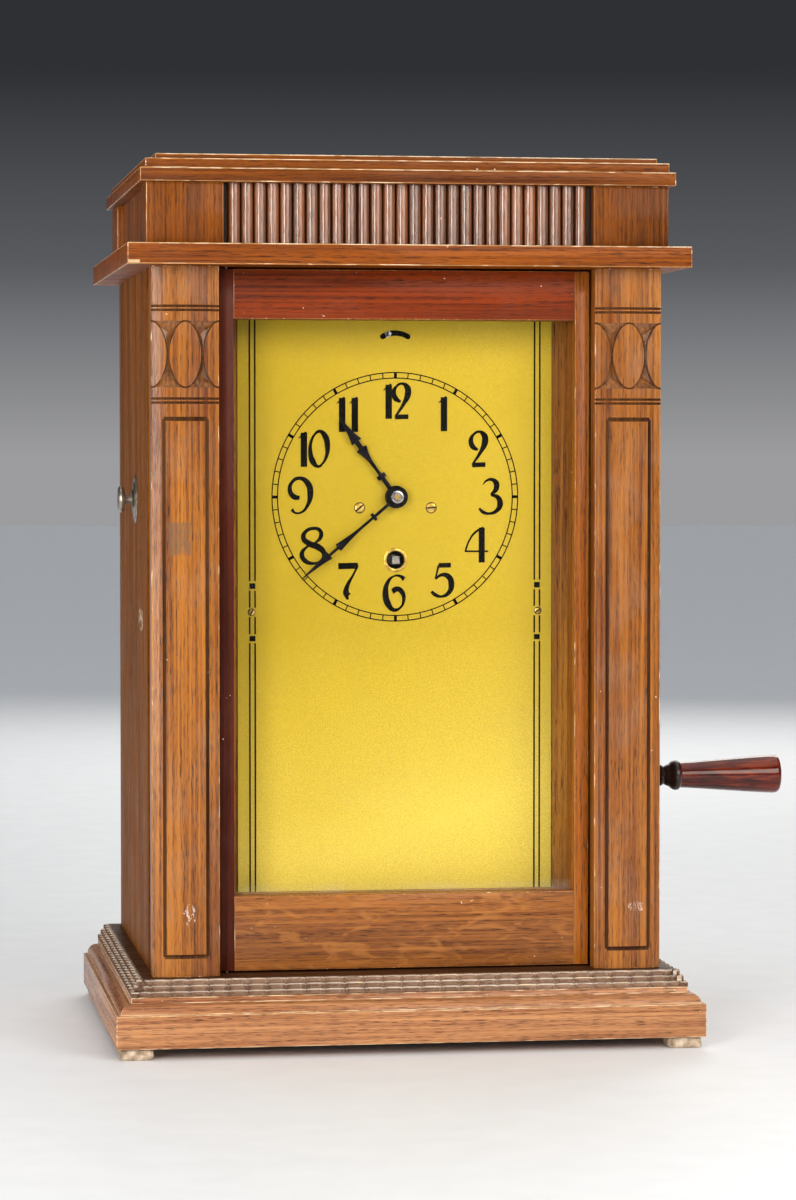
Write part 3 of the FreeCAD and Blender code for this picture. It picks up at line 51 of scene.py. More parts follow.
def clear():
    """Leaves edit mode with nothing selected."""
    if bpy.context.mode != "OBJECT":
        bpy.ops.object.mode_set(mode="OBJECT")
    bpy.ops.object.select_all(action="DESELECT")


def take(piece):
    """Selects one piece and makes it active."""
    clear()
    piece.select_set(True)
    bpy.context.view_layer.objects.active = piece
    return piece


def named(name):
    """Names the piece that was just added and settles its place into its mesh."""
    piece = bpy.context.object
    piece.name = name
    piece.data.name = name
    bpy.ops.object.transform_apply(location=True, rotation=True, scale=True)
    return piece


def placed(piece, move=(0, 0, 0), turn=(0, 0, 0)):
    """Turns a piece about the origin, moves it by millimetres and settles both into its mesh."""
    take(piece)
    piece.rotation_euler = turn
    piece.location = [step * MM for step in move]
    return named(piece.name)


def moved(piece, name, move=(0, 0, 0), turn=(0, 0, 0)):
    """A copy with its own mesh, turned and moved."""
    take(piece)
    bpy.ops.object.duplicate()
    bpy.context.object.name = name
    return placed(bpy.context.object, move, turn)


def block(name, low, high):
    """A block between two corners in millimetres."""
    clear()
    bpy.ops.mesh.primitive_cube_add(
        size=1,
        location=[(a + b) / 2 * MM for a, b in zip(low, high)],
        scale=[(b - a) * MM for a, b in zip(low, high)],
    )
    return named(name)


def edit(piece, kind="FACE", test=lambda middle: True):
    """Opens a piece in edit mode with those faces, edges or points selected whose middle passes a test,
    which takes it in millimetres."""
    take(piece)
    bpy.ops.object.mode_set(mode="EDIT")
    bpy.ops.mesh.select_mode(type=kind)
    bpy.ops.mesh.select_all(action="DESELECT")
    mesh = bmesh.from_edit_mesh(piece.data)
    for part in {"VERT": mesh.verts, "EDGE": mesh.edges, "FACE": mesh.faces}[kind]:
        points = [part.co] if kind == "VERT" else [point.co for point in part.verts]
        if test(sum(points, Vector()) / len(points) / MM):
            part.select_set(True)
    mesh.select_flush_mode()
    bmesh.update_edit_mesh(piece.data)


def modify(piece, kind, **settings):
    """Adds a modifier with its settings and applies it."""
    take(piece)
    modifier = piece.modifiers.new(kind.lower(), kind)
    for key, setting in settings.items():
        setattr(modifier, key, setting)
    bpy.ops.object.modifier_apply(modifier=modifier.name)


def ease(piece, width, look=-1, angle=30, segments=2):
    """Rounds the edges that turn by more than an angle. The rounding may have a look of its own."""
    modify(piece, "BEVEL", width=width * MM, segments=segments, limit_method="ANGLE",
           angle_limit=math.radians(angle), material=look)


def joined(name, pieces):
    """Several pieces made one."""
    take(pieces[0])
    for piece in pieces:
        piece.select_set(True)
    bpy.ops.object.join()
    return named(name)


def linear(colour):
    """A hex colour as the linear values that shaders take."""
    parts = [int(colour[i:i + 2], 16) / 255 for i in (1, 3, 5)]
    return [c / 12.92 if c <= 0.04045 else ((c + 0.055) / 1.055) ** 2.4 for c in parts] + [1.0]


def add(tree, kind, links=None, stops=None, out=None, **settings):
    """Adds a node with its settings. Links gives its inputs, each another node's output or a plain value."""
    node = tree.nodes.new("ShaderNode" + kind)
    for key, setting in settings.items():
        setattr(node, key, setting)
    used = [socket for socket in node.inputs if socket.enabled]
    for key, source in (links or {}).items():
        socket = used[key] if isinstance(key, int) else node.inputs[key]
        if isinstance(source, bpy.types.NodeSocket):
            tree.links.new(source, socket)
        else:
            socket.default_value = source
    for i, (position, colour) in enumerate(stops or []):
        elements = node.color_ramp.elements
        element = elements[i] if i < 2 else elements.new(position)
        element.position = position
        element.color = linear(colour) if isinstance(colour, str) else (colour, colour, colour, 1)
    return node.outputs[out] if out else next((o for o in node.outputs if o.enabled), None)


def finish(name):
    """A new material with an empty node tree, and the coordinates that its patterns follow."""
    material = bpy.data.materials.new(name)
    material.use_nodes = True
    tree = material.node_tree
    tree.nodes.clear()
    return material, tree, add(tree, "TexCoord", out="Object")


def paint(piece, *finishes):
    """Gives a piece its finishes, in the order in which its faces count them."""
    for material in finishes:
        piece.data.materials.append(material)
    return piece


def fit(piece, body, nodes=(), angle=35):
    """Smooths a piece's rounded faces and puts it on its body, in place of the nodes that it stands for."""
    take(piece)
    bpy.ops.object.shade_smooth_by_angle(angle=math.radians(angle))
    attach(piece, body)
    if nodes:
        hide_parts(*nodes)


# Bare softwood, sawn and then scuffed: pale, dry and without gloss, grey where dirt has gone into it.
bare_wood, tree, place = finish("bare_softwood")
darkening = add(tree, "TexNoise", {"Vector": place, "Scale": 1 / (4 * MM), "Detail": 4.0})
fibre = add(tree, "TexNoise", {"Vector": place, "Scale": 1 / (0.8 * MM), "Detail": 2.0})
colour = add(tree, "ValToRGB", {"Fac": darkening}, [(0.35, "#8c7866"), (0.5, "#baa48c"), (0.68, "#d8c8b4")])
bump = add(tree, "Bump", {"Height": fibre, "Strength": 0.6, "Distance": 0.4 * MM})
surface = add(tree, "BsdfPrincipled", {"Base Color": colour, "Roughness": 0.85, "Normal": bump})
add(tree, "OutputMaterial", {"Surface": surface})

FOOT_ROUND = 1.2
worn_half = FOOT_SIDE / 2 - CRUMBLE
pad = block("foot_pad", (-worn_half, -worn_half, 0), (worn_half, worn_half, FOOT_HEIGHT))
ease(pad, FOOT_ROUND)
edit(pad)
bpy.ops.mesh.subdivide(number_cuts=4)
edit(pad, "VERT", lambda middle: CRUMBLE < middle.z < FOOT_HEIGHT - CRUMBLE)
bpy.ops.transform.vertex_random(offset=0.8 * CRUMBLE * MM, seed=4)
feet = joined("worn_feet", [moved(pad, f"foot_{i}", (*spot, 0)) for i, spot in enumerate(FOOT_PLACES)])
bpy.data.objects.remove(pad)
fit(paint(feet, bare_wood), "case", ["feet"])

# BASE
# An oak plinth moulding mitred at the front corners, drawn in over an ovolo to a carved band.
# It is planed from solid strips and glued round the base board, with a plain rail behind.

BASE_FRONT = -122.5
BASE_BACK = 110
BASE_HALF = 141
BASE_BOTTOM = 5.5
BASE_TOP = 36.5
BOARD_HALF = 116.5
BOARD_FRONT = -98
BOARD_BACK = 97.75
PLINTH_HEIGHT = 15.8
BAND_INSET = 7.5
BAND_RISE = 23.3
# The moulding's section, as how far it stands in from the plinth's face and how high it is.
OVOLO = [(2 + 4.5 * (1 - math.cos(math.radians(a))), PLINTH_HEIGHT + 4.7 * math.sin(math.radians(a)))
         for a in range(0, 91, 15)]
MOULDING = [(0, 0), (0, PLINTH_HEIGHT), *OVOLO, (BAND_INSET, 20.5), (BAND_INSET, BAND_RISE),
            (10.6, BAND_RISE), (13.6, 31)]


def oak(name, grain, dark, light, shift=0.0, worn=0.0, fleck=0.0, gloss=0.5, polish=0.16, skin=1.5,
        lustre=0.1, patina=0.03, darkening=None, marks=()):
    """Oak with its grain along one axis. Worn is how much of it is rubbed down to pale bare wood, and patina
    how grey its cloudy places are. Gloss, polish and skin are its coat's weight, roughness and IOR, and
    lustre is the shine of the wood under it.
    A pair of depths, from front to back, sets where it is clean and where nearly black, as in a moulding's
    valleys: dust and painted shade.
    Marks are (look, middle, reach, colour, strength, grit), with all sizes in millimetres."""
    material, tree, place = finish(name)

    def stretched(across, length):
        """The scale of a pattern that is drawn out along the grain."""
        return [1 / ((length if axis == grain else across) * MM) for axis in "XYZ"]

    noise = {}
    # The real vessels are 0.25 mm wide, too fine to show here, so they are drawn at 0.32 mm.
    for key, across, length, detail, bend in (
            ("figure", 15, 240, 4, 0.9), ("rings", 1.4, 130, 4, 0.25), ("pores", 0.32, 7, 1, 0.0),
            ("haze", 16, 26, 5, 0.4), ("rub", 2.2, 11, 5, 0.6), ("nick", 2.2, 2.8, 2, 0.0)):
        mapped = add(tree, "Mapping", {"Vector": place, "Location": (shift, shift * 1.7, shift * 2.3),
                                       "Scale": stretched(across, length)})
        noise[key] = add(tree, "TexNoise", {"Vector": mapped, "Scale": 1.0, "Detail": detail,
                                            "Distortion": bend})
    figure = add(tree, "Math", {0: noise["figure"], 1: 0.5}, operation="MULTIPLY")
    tone = add(tree, "Math", {0: noise["rings"], 1: 0.5, 2: figure}, operation="MULTIPLY_ADD")
    colour = add(tree, "ValToRGB", {"Fac": tone}, [(0.37, dark), (0.61, light)])
    # Vessels crowd into the spring wood, so they follow the rings.
    crowd = add(tree, "ValToRGB", {"Fac": noise["rings"]}, [(0.4, 1.0), (0.66, 0.25)])
    vessel = add(tree, "ValToRGB", {"Fac": noise["pores"]}, [(0.55, 0.0), (0.62, 0.75)])
    pore = add(tree, "Math", {0: vessel, 1: crowd}, operation="MULTIPLY")
    # What lies over the wood, as where it lies and its colour.
    layers = [(pore, "#2c1307")]
    if fleck:
        mapped = add(tree, "Mapping", {"Vector": place, "Rotation": (0, math.radians(28), 0),
                                       "Scale": stretched(7, 20)})
        ray = add(tree, "TexNoise", {"Vector": mapped, "Scale": 1.0, "Detail": 2.0, "Distortion": 1.6})
        layers.append((add(tree, "ValToRGB", {"Fac": ray}, [(0.53, 0.0), (0.66, fleck)]), "#c4803e"))
    # Old polish and dust lie in grey clouds, and small knocks show the bare wood.
    for key, low, high, most, hue in (("haze", 0.47, 0.7, patina, "#a08a7a"),
                                      ("nick", 0.77, 0.79, 0.8, "#ead8bc")):
        layers.append((add(tree, "ValToRGB", {"Fac": noise[key]}, [(low, 0.0), (high, most)]), hue))
    for look, middle, reach, hue, strength, grit in marks:
        mapped = add(tree, "Mapping", {"Vector": place, "Location": [-m / r for m, r in zip(middle, reach)],
                                       "Scale": [1 / (r * MM) for r in reach]})
        if look == "patch":
            mapped = add(tree, "VectorMath", {0: mapped}, operation="ABSOLUTE")
            sides = add(tree, "SeparateXYZ", {"Vector": mapped}).node.outputs
            far = add(tree, "Math", {0: sides["X"], 1: sides["Y"]}, operation="MAXIMUM")
            far = add(tree, "Math", {0: far, 1: sides["Z"]}, operation="MAXIMUM")
        else:
            far = add(tree, "VectorMath", {0: mapped}, out="Value", operation="LENGTH")
        near = add(tree, "ValToRGB", {"Fac": far}, [(0.85, strength), (1.0, 0.0)])
        strokes = add(tree, "Mapping", {"Vector": place, "Rotation": (0, math.radians(-40), 0),
                                        "Scale": (3, 3, 0.8) if look == "scratch" else (1, 1, 1)})
        speck = add(tree, "TexNoise", {"Vector": strokes, "Scale": 1 / (grit * MM), "Detail": 3.0})
        # A patch is nearly whole, a scuff is broken up, and a scratch is a few thin lines.
        breaks = {"patch": [(0.3, 0.2), (0.5, 1.0)], "scuff": [(0.46, 0.0), (0.54, 1.0)],
                  "scratch": [(0.47, 0.0), (0.5, 1.0), (0.53, 0.0)]}[look]
        broken = add(tree, "ValToRGB", {"Fac": speck}, breaks)
        layers.append((add(tree, "Math", {0: near, 1: broken}, operation="MULTIPLY"), hue))
    if worn:
        rubbed = add(tree, "ValToRGB", {"Fac": noise["rub"]},
                     [(0.66 - worn * 0.3, 0.0), (0.78 - worn * 0.3, 0.9)])
        layers.append((rubbed, "#efd2ab"))
    shine = gloss
    # Dust and painted shade: the valleys go nearly black.
    if darkening:
        depth = add(tree, "SeparateXYZ", {"Vector": place}, out="Y")
        valley_dust_and_shade = add(tree, "MapRange", {"Value": depth, "From Min": darkening[0] * MM, "From Max": darkening[1] * MM,
                                        "To Max": 0.92})
        layers.append((valley_dust_and_shade, "#140804"))
        shine = add(tree, "MapRange", {"Value": valley_dust_and_shade, "To Min": gloss, "To Max": 0.0})
    for mask, hue in layers:
        colour = add(tree, "Mix", {0: mask, 1: colour, 2: linear(hue)}, data_type="RGBA")
    sheen = add(tree, "ValToRGB", {"Fac": noise["haze"]}, [(0.3, 0.42), (0.7, 0.56)])
    rough = add(tree, "Math", {0: pore, 1: 0.25, 2: sheen}, operation="MULTIPLY_ADD")
    depth = add(tree, "Math", {0: 1.0, 1: pore}, operation="SUBTRACT")
    bump = add(tree, "Bump", {"Height": depth, "Strength": 0.5, "Distance": 0.12 * MM})
    surface = add(tree, "BsdfPrincipled", {
        "Base Color": colour, "Roughness": rough, "Normal": bump, "IOR": 1.5, "Specular IOR Level": lustre,
        "Coat Weight": shine, "Coat Roughness": polish, "Coat IOR": skin, "Coat Normal": bump})
    add(tree, "OutputMaterial", {"Surface": surface})
    return material


# Shellacked oak: warm brown with dark vessels and a half-gloss skin that thins on the edges.
BASE_DARK = "#84492a"
BASE_LIGHT = "#c68c5c"
base_oak = oak("oak_base_front", "X", BASE_DARK, BASE_LIGHT, 1.0)
base_oak_side = oak("oak_base_side", "Y", BASE_DARK, BASE_LIGHT, 2.0)
base_edge = oak("oak_base_edge", "X", "#95623a", "#cf9f70", 1.0, worn=0.7)
base_top = oak("oak_base_top", "X", "#2c180c", "#5c3a20", 1.0, gloss=0.1)


def flat(name, half_width, half_height, place=(0, 0, 0), turn=(0, 0, 0), sides=0, fill="NGON"):
    """A flat rectangle, or a shape of so many sides that fits it, turned and then moved to its place."""
    clear()
    if sides:
        bpy.ops.mesh.primitive_circle_add(vertices=sides, fill_type=fill)
    else:
        bpy.ops.mesh.primitive_plane_add()
    piece = bpy.context.object
    piece.name = name
    piece.scale = (half_width * MM, half_height * MM, 1)
    return placed(piece, place, turn)


def pull(step, spread=(1, 1, 1), centre=(0, 0, 0)):
    """Extrudes what is selected by millimetres, and scales its new end about a centre."""
    bpy.ops.mesh.extrude_region_move(TRANSFORM_OT_translate={"value": [part * MM for part in step]})
    bpy.ops.transform.resize(value=spread, center_override=[part * MM for part in centre])


def close(gap=0.001):
    """Merges the doubled points of the piece that is open, turns its faces outwards and leaves edit mode."""
    bpy.ops.mesh.select_all(action="SELECT")
    bpy.ops.mesh.remove_doubles(threshold=gap * MM)
    bpy.ops.mesh.normals_make_consistent(inside=False)
    clear()


def split(piece, place, normal, drop=False):
    """Cuts a piece by a plane through a place in millimetres, and may drop what lies beyond it."""
    edit(piece)
    bpy.ops.mesh.bisect(plane_co=[part * MM for part in place], plane_no=normal,
                        use_fill=drop, clear_outer=drop)
    clear()


base_depth = BASE_BACK - BASE_FRONT
base = flat("base_moulding", BASE_HALF, base_depth / 2, (0, (BASE_FRONT + BASE_BACK) / 2, BASE_BOTTOM))
edit(base)
for (inset, rise), (next_inset, next_rise) in zip(MOULDING, MOULDING[1:]):
    narrow = (BASE_HALF - next_inset) / (BASE_HALF - inset)
    shallow = (base_depth - next_inset) / (base_depth - inset)
    pull((0, 0, next_rise - rise), (narrow, shallow, 1), (0, BASE_BACK, BASE_BOTTOM + next_rise))
close(0.01)
edit(base, "FACE", lambda middle: middle.y > BASE_BACK - 0.1)
bpy.ops.mesh.dissolve_faces()
clear()
paint(base, base_oak, base_oak_side, base_edge, base_top)
ease(base, 0.35, look=2, angle=40)


def carve(piece, cutter):
    """Cuts one piece by another, which is then thrown away."""
    modify(piece, "BOOLEAN", object=cutter, operation="DIFFERENCE", solver="EXACT")
    bpy.data.objects.remove(cutter)


def stain(piece, look, test):
    """Gives another of a piece's finishes to the faces that pass a test of their middle, in millimetres."""
    for face in piece.data.polygons:
        if test(face.center / MM, face):
            face.material_index = look


carve(base, block("board_room", (-BOARD_HALF, BOARD_FRONT, 0), (BOARD_HALF, BOARD_BACK, 2 * BASE_TOP)))
for side in (-1, 1):
    split(base, (side * BASE_HALF, BASE_FRONT, 0), (side, 1, 0))
stain(base, 1, lambda middle, face: (face.material_index == 0 and abs(middle.x) > BOARD_HALF
                                     and BASE_HALF - abs(middle.x) < middle.y - BASE_FRONT))
stain(base, 3, lambda middle, face: middle.z > BASE_BOTTOM + BAND_RISE + 0.5)
fit(base, "case", ["base_mouldings"])

board_oak = oak("oak_base_board", "X", "#341c0e", "#6a4224", 3.0, gloss=0.1)


def dress(material, *nodes):
    """Gives nodes that stay as they are their finish."""
    for node in nodes:
        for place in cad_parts[node].material_slots:
            place.material = material


dress(board_oak, "base_board")

# CARVED BAND
# Three stepped rows of gouge cuts run round the front and sides of the base.
# Each cut is a shallow scoop with a crisp ridge to the next; its upper rim is rubbed, and painted pale as a
# painted highlight.

ROW_COUNT = 3
ROW_HEIGHT = 7.7 / ROW_COUNT
ROW_STEP = 1.5
ROW_DEPTH = 3.6
SCOOP_WIDTH = 9.2
SCOOP_DEPTH = 1.9
RIM_ROUND = 0.55
BAND_BOTTOM = BASE_BOTTOM + BAND_RISE

# The carving is a greyer brown than the plinth and is painted darker on the sides, painted shade;
# its rims are painted pale, a painted highlight over some rubbed wear.
band_oak = oak("oak_carved", "X", "#6a4f3e", "#9c7c66", 4.0, gloss=0.25)
band_oak_side = oak("oak_carved_side", "Y", "#463022", "#7a5d48", 5.0, gloss=0.25)
band_rim = oak("oak_carved_rim", "X", "#a48f80", "#dccebf", 4.0, worn=0.3)

scoop = block("scoop", (0, 0, 0), (SCOOP_WIDTH, ROW_DEPTH, ROW_HEIGHT))
for share in (0.12, 0.32, 0.68, 0.88):
    split(scoop, (SCOOP_WIDTH * share, 0, 0), (1, 0, 0))
for low, high, sink in ((0.1, 0.2, 0.6), (0.8, 0.9, 0.6), (0.3, 0.4, 1.0), (0.6, 0.7, 1.0)):
    edit(scoop, "VERT", lambda middle: middle.y < 0.1 and low < middle.x / SCOOP_WIDTH < high)
    bpy.ops.transform.translate(value=(0, SCOOP_DEPTH * sink * MM, 0))
paint(scoop, band_oak, band_oak_side, band_rim)
edit(scoop, "EDGE", lambda middle: middle.y < SCOOP_DEPTH + 0.1 and middle.z > ROW_HEIGHT - 0.1)
bpy.ops.mesh.bevel(offset=RIM_ROUND * MM, segments=3, material=2)
edit(scoop, "FACE", lambda middle: min(middle.x, SCOOP_WIDTH - middle.x) < 0.01)
bpy.ops.mesh.delete(type="ONLY_FACE")
clear()
band_half = BASE_HALF - BAND_INSET
band_front = BASE_FRONT + BAND_INSET
side_run = base_depth - BAND_INSET
rows = []
for key, run, turn, corner, mitres in (
        ("front", 2 * band_half, 0, (-band_half, band_front, 0), (-1, 1)),
        ("left", side_run, -math.pi / 2, (-band_half, BASE_BACK, 0), (1,)),
        ("right", side_run, math.pi / 2, (band_half, band_front, 0), (-1,))):
    count = round(run / SCOOP_WIDTH)
    strip = moved(scoop, f"scoops_{key}")
    modify(strip, "ARRAY", count=count, use_relative_offset=False, use_constant_offset=True,
           constant_offset_displace=(SCOOP_WIDTH * MM, 0, 0), use_merge_vertices=True,
           merge_threshold=0.01 * MM)
    edit(strip)
    bpy.ops.transform.resize(value=(run / count / SCOOP_WIDTH, 1, 1), center_override=(0, 0, 0))
    bpy.ops.mesh.fill_holes(sides=0)
    clear()
    for row in range(ROW_COUNT):
        # Each cut runs up through all the rows, so a row further in loses its ends at the mitres.
        back = ROW_STEP * row
        course = moved(strip, f"course_{key}_{row}", (0, back, BAND_BOTTOM + ROW_HEIGHT * row))
        for mitre in mitres if row else ():
            split(course, (back if mitre < 0 else run - back, 0, 0), (mitre, 0, 0), drop=True)
        # The rows on the sides take the darker side finish: painted shade.
        if turn:
            stain(course, 1, lambda middle, face: face.material_index == 0)
        rows.append(moved(course, f"scoops_{key}_{row}", corner, (0, 0, turn)))
        bpy.data.objects.remove(course)
    bpy.data.objects.remove(strip)
bpy.data.objects.remove(scoop)
fit(joined("carved_band", rows), "case", angle=50)

# POSTS
# Two oak posts with barrelled fronts carry the shelf at the front corners, glued into base and shelf.
# A band of chip-carved ovals between incised double lines tops a long panel drawn by a V-groove.

POST_MIDDLE = 106.35
POST_HALF = 16.15
POST_FRONT = -104
POST_BACK = -70
POST_CORE = 20
POST_BOTTOM = BASE_TOP
POST_TOP = 372.5
CROWN = 2.4
BARREL = (POST_HALF ** 2 + CROWN ** 2) / (2 * CROWN)
BARREL_AXIS = POST_FRONT + BARREL
OVAL_MIDDLE = 330.8
OVAL_HALF_HEIGHT = 15.6
OVAL_HALF_WIDTH = 7.75
LINE_PLACES = (352.5, 309.0)
PANEL_HALF = 10.2
PANEL_LOW = 46.3
PANEL_HIGH = 300.4
PANEL_CUT = 1.0
PANEL_BAR = 0.71
LINE_CUT = 0.6
LINE_APART = 0.95
OUTLINE_CUT = 0.5
OUTLINE_SINK = 0.3
# The blank and its lines are made wider than the post, which is then trimmed.
BLANK_REACH = POST_HALF + 3
LINE_REACH = POST_HALF + 2
UPRIGHT = (math.pi / 2, 0, 0)


def on_front(lean, radius, height):
    """The place at an angle round the barrelled front of the left post."""
    return -POST_MIDDLE + radius * math.sin(lean), BARREL_AXIS - radius * math.cos(lean), height


def bent(section, radius, height, reach, steps):
    """Spins a flat section about the axis of the barrelled front, to the same reach on both sides."""
    turn = math.asin(reach / BARREL)
    piece = placed(section, on_front(-turn, radius, height),
                   (math.pi / 2, 0, math.atan2(-math.cos(turn), -math.sin(turn))))
    edit(piece)
    bpy.ops.mesh.spin(steps=steps, angle=-2 * turn, center=(-POST_MIDDLE * MM, BARREL_AXIS * MM, 0),
                      axis=(0, 0, 1))
    close()
    return piece


def hoop(name, height, reach, half):
    """A bar of diamond section bent round the front, to cut a V-groove across it."""
    return bent(flat(name, half, half, sides=4), BARREL, height, reach, 28)


# Posts: the same oak with upright grain, rubbed pale down both front corners.
GLUE_STAIN = ("patch", (-109.2, -103.5, 244), (5.7, 6, 8.3), "#6a5440", 0.6, 6)
SCRATCH_LEFT = ("scratch", (-105, -104, 66), (3.4, 3, 5.5), "#f2ebe0", 0.9, 5)
SCRATCH_RIGHT = ("scratch", (111, -104, 66.5), (5.2, 3, 2.4), "#f2ebe0", 0.8, 4)
post_oak = oak("oak_post", "Z", "#6c340a", "#b06c22", 6.0, patina=0.14,
               marks=(GLUE_STAIN, SCRATCH_LEFT, SCRATCH_RIGHT))
post_edge = oak("oak_post_edge", "Z", "#8a4c1e", "#c4884a", 6.0, worn=0.3)
# The grooves and the walls of the cuts are painted dark brown and the chip facets darker than the post:
# painted shade in the cuts.
groove_oak = oak("oak_groove", "Z", "#36190a", "#66401f", 7.0, gloss=0.3)
chip_oak = oak("oak_chip_facet", "Z", "#502809", "#925a24", 7.0, gloss=0.9)

post = bent(flat("post", (BARREL - POST_CORE) / 2, (POST_TOP - POST_BOTTOM) / 2), (BARREL + POST_CORE) / 2,
            (POST_TOP + POST_BOTTOM) / 2, BLANK_REACH, 30)
for side in (-1, 1):
    split(post, (-POST_MIDDLE + side * POST_HALF, 0, 0), (side, 0, 0), drop=True)
split(post, (0, POST_BACK, 0), (0, 1, 0), drop=True)
edit(post)
close()
post_finishes = (post_oak, post_edge, groove_oak, chip_oak)
paint(post, *post_finishes)
ease(post, 0.7, look=1, angle=45)
cutters = []
for place in LINE_PLACES:
    for offset in (-LINE_APART, LINE_APART):
        cutters.append(hoop(f"line_{place}_{offset}", place + offset, LINE_REACH, LINE_CUT))
for place in (PANEL_LOW, PANEL_HIGH):
    cutters.append(hoop(f"panel_end_{place}", place, PANEL_HALF, PANEL_CUT))
sag = BARREL - math.sqrt(BARREL ** 2 - PANEL_HALF ** 2)
for side in (-1, 1):
    bar = block(f"panel_side_{side}", (-PANEL_BAR, -PANEL_BAR, PANEL_LOW), (PANEL_BAR, PANEL_BAR, PANEL_HIGH))
    cutters.append(placed(bar, (-POST_MIDDLE + side * PANEL_HALF, POST_FRONT + sag, 0), (0, 0, math.pi / 4)))
for step in (-1, 0, 1):
    # Each oval is outlined by a V-groove: a ring of diamond section, drawn out to the oval's height.
    lean = math.asin(step * POST_HALF / BARREL)
    clear()
    bpy.ops.mesh.primitive_torus_add(major_segments=72, minor_segments=4, major_radius=OVAL_HALF_WIDTH * MM,
                                     minor_radius=OUTLINE_CUT * MM, rotation=UPRIGHT)
    ring = named(f"outline_{step}")
    ring.scale = (1, 1, OVAL_HALF_HEIGHT / OVAL_HALF_WIDTH)
    cutters.append(placed(ring, on_front(lean, BARREL - OUTLINE_SINK, OVAL_MIDDLE), (0, 0, lean)))
CHIP_SINK = 0.55
CHIP_DEPTH = 3.0
CHIP_TAIL = 1.0
CUT_LENGTH = 6
OVAL_LENGTH = 16
for side in (-1, 1):
    # A chip between two ovals: a three-sided pit, square to the barrelled front where the ovals meet.
    lean = math.asin(side * POST_HALF / 2 / BARREL)
    for up in (-1, 1):
        # A triangle is one and a half times as tall as the radius of its circle.
        tall = (OVAL_HALF_HEIGHT + CHIP_TAIL) / 1.5
        chip = flat(f"chip_{side}_{up}", POST_HALF / math.sqrt(3), tall * -up, turn=UPRIGHT, sides=3,
                    fill="TRIFAN")
        edit(chip, "VERT", lambda middle: abs(middle.x) < 0.01 and abs(middle.z) < 0.01)
        bpy.ops.transform.translate(value=(0, CHIP_DEPTH * MM, 0))
        edit(chip)
        pull((0, -CUT_LENGTH, 0))
        close()
        height = OVAL_MIDDLE + up * (OVAL_HALF_HEIGHT - tall / 2)
        placed(chip, on_front(lean, BARREL - CHIP_SINK, height), (0, 0, lean))
        for oval_place in (0, side * POST_HALF):
            oval = flat("oval", OVAL_HALF_WIDTH, OVAL_HALF_HEIGHT,
                        (-POST_MIDDLE + oval_place, POST_FRONT - CUT_LENGTH, OVAL_MIDDLE), UPRIGHT, 72)
            edit(oval)
            pull((0, OVAL_LENGTH, 0))
            close()
            carve(chip, oval)
        cutters.append(chip)
# Every cut's walls take the dark groove finish and its chip facets the chip finish: painted shade.
for cutter in cutters:
    cutter.data.materials.clear()
    paint(cutter, *post_finishes)
    stain(cutter, 2, lambda middle, face: True)
    if cutter.name.startswith("chip"):
        stain(cutter, 3, lambda middle, face: abs(face.normal.y) > 0.4)
    carve(post, cutter)
edit(post)
bpy.ops.mesh.remove_doubles(threshold=0.01 * MM)
bpy.ops.mesh.dissolve_degenerate(threshold=0.01 * MM)
clear()
post_left = moved(post, "carved_post_left")
post_right = moved(post, "carved_post_right", (2 * POST_MIDDLE, 0, 0))
bpy.data.objects.remove(post)
fit(post_left, "case", ["post_left"], angle=20)
fit(post_right, "case", ["post_right"], angle=20)

# PANELS
# Oak boards close the sides and the back. The sides are glued between post, base and shelf,
# and the back is screwed on so that the works can be reached, with slots that let the sound out.

# Side panels: oak with upright grain, browner and less handled than the front.
SIDE_SCUFF = ("scuff", (-121.7, -30, 203), (3, 15, 6), "#c9b296", 0.9, 4)
side_oak = oak("oak_side", "Z", "#5a2e06", "#945612", 8.0, gloss=0.0, lustre=0.04, marks=(SIDE_SCUFF,))
back_oak = oak("oak_back", "Z", "#55300f", "#8c5a2a", 9.0, gloss=0.1)
dress(side_oak, "side_panel_left", "side_panel_right")
dress(back_oak, "back_panel")


def metal(name, dark, light, rough_low, rough_high, grain, metallic=1.0):
    """A metal, or a coating where metallic is 0, whose sheen and shade change over a grain in millimetres."""
    material, tree, place = finish(name)
    cloud = add(tree, "TexNoise", {"Vector": place, "Scale": 1 / (grain * MM), "Detail": 5.0,
                                   "Roughness": 0.6})
    fine = add(tree, "TexNoise", {"Vector": place, "Scale": 1 / (grain * 0.12 * MM), "Detail": 2.0})
    colour = add(tree, "ValToRGB", {"Fac": cloud}, [(0.32, dark), (0.6, light)])
    rough = add(tree, "ValToRGB", {"Fac": cloud}, [(0.35, rough_high), (0.65, rough_low)])
    bump = add(tree, "Bump", {"Height": fine, "Strength": 0.25, "Distance": 0.03 * MM})
    surface = add(tree, "BsdfPrincipled", {"Base Color": colour, "Roughness": rough, "Metallic": metallic,
                                           "Normal": bump})
    add(tree, "OutputMaterial", {"Surface": surface})
    return material


# Turned steel screws: grey, dulled by age, brown where rust has started.
screw_steel = metal("screw_steel", "#5c5148", "#a8a39b", 0.3, 0.55, 3)
dress(screw_steel, "back_screws")

# SHELF AND TOP
# A projecting shelf board, a frieze of square blocks and reeding, and three stepped boards on top.
# Each board is planed oak, glued and pinned, and its edges are rubbed through to pale wood.

SHELF = ((-134.5, -116, 372.5), (134.5, 116, 382.5))
LIP = ((-128, -109.5, 411.5), (128, 109.5, 418))
STEP = ((-125.3, -106.8, 418), (125.3, 106.8, 422.5))
CAP = ((-120.3, -101.8, 422.5), (120.3, 101.8, 425))
SHELF_CHIP = ("patch", (-131.5, -116, 373.2), (3.0, 4, 1.3), "#f2d8a8", 1.0, 40)

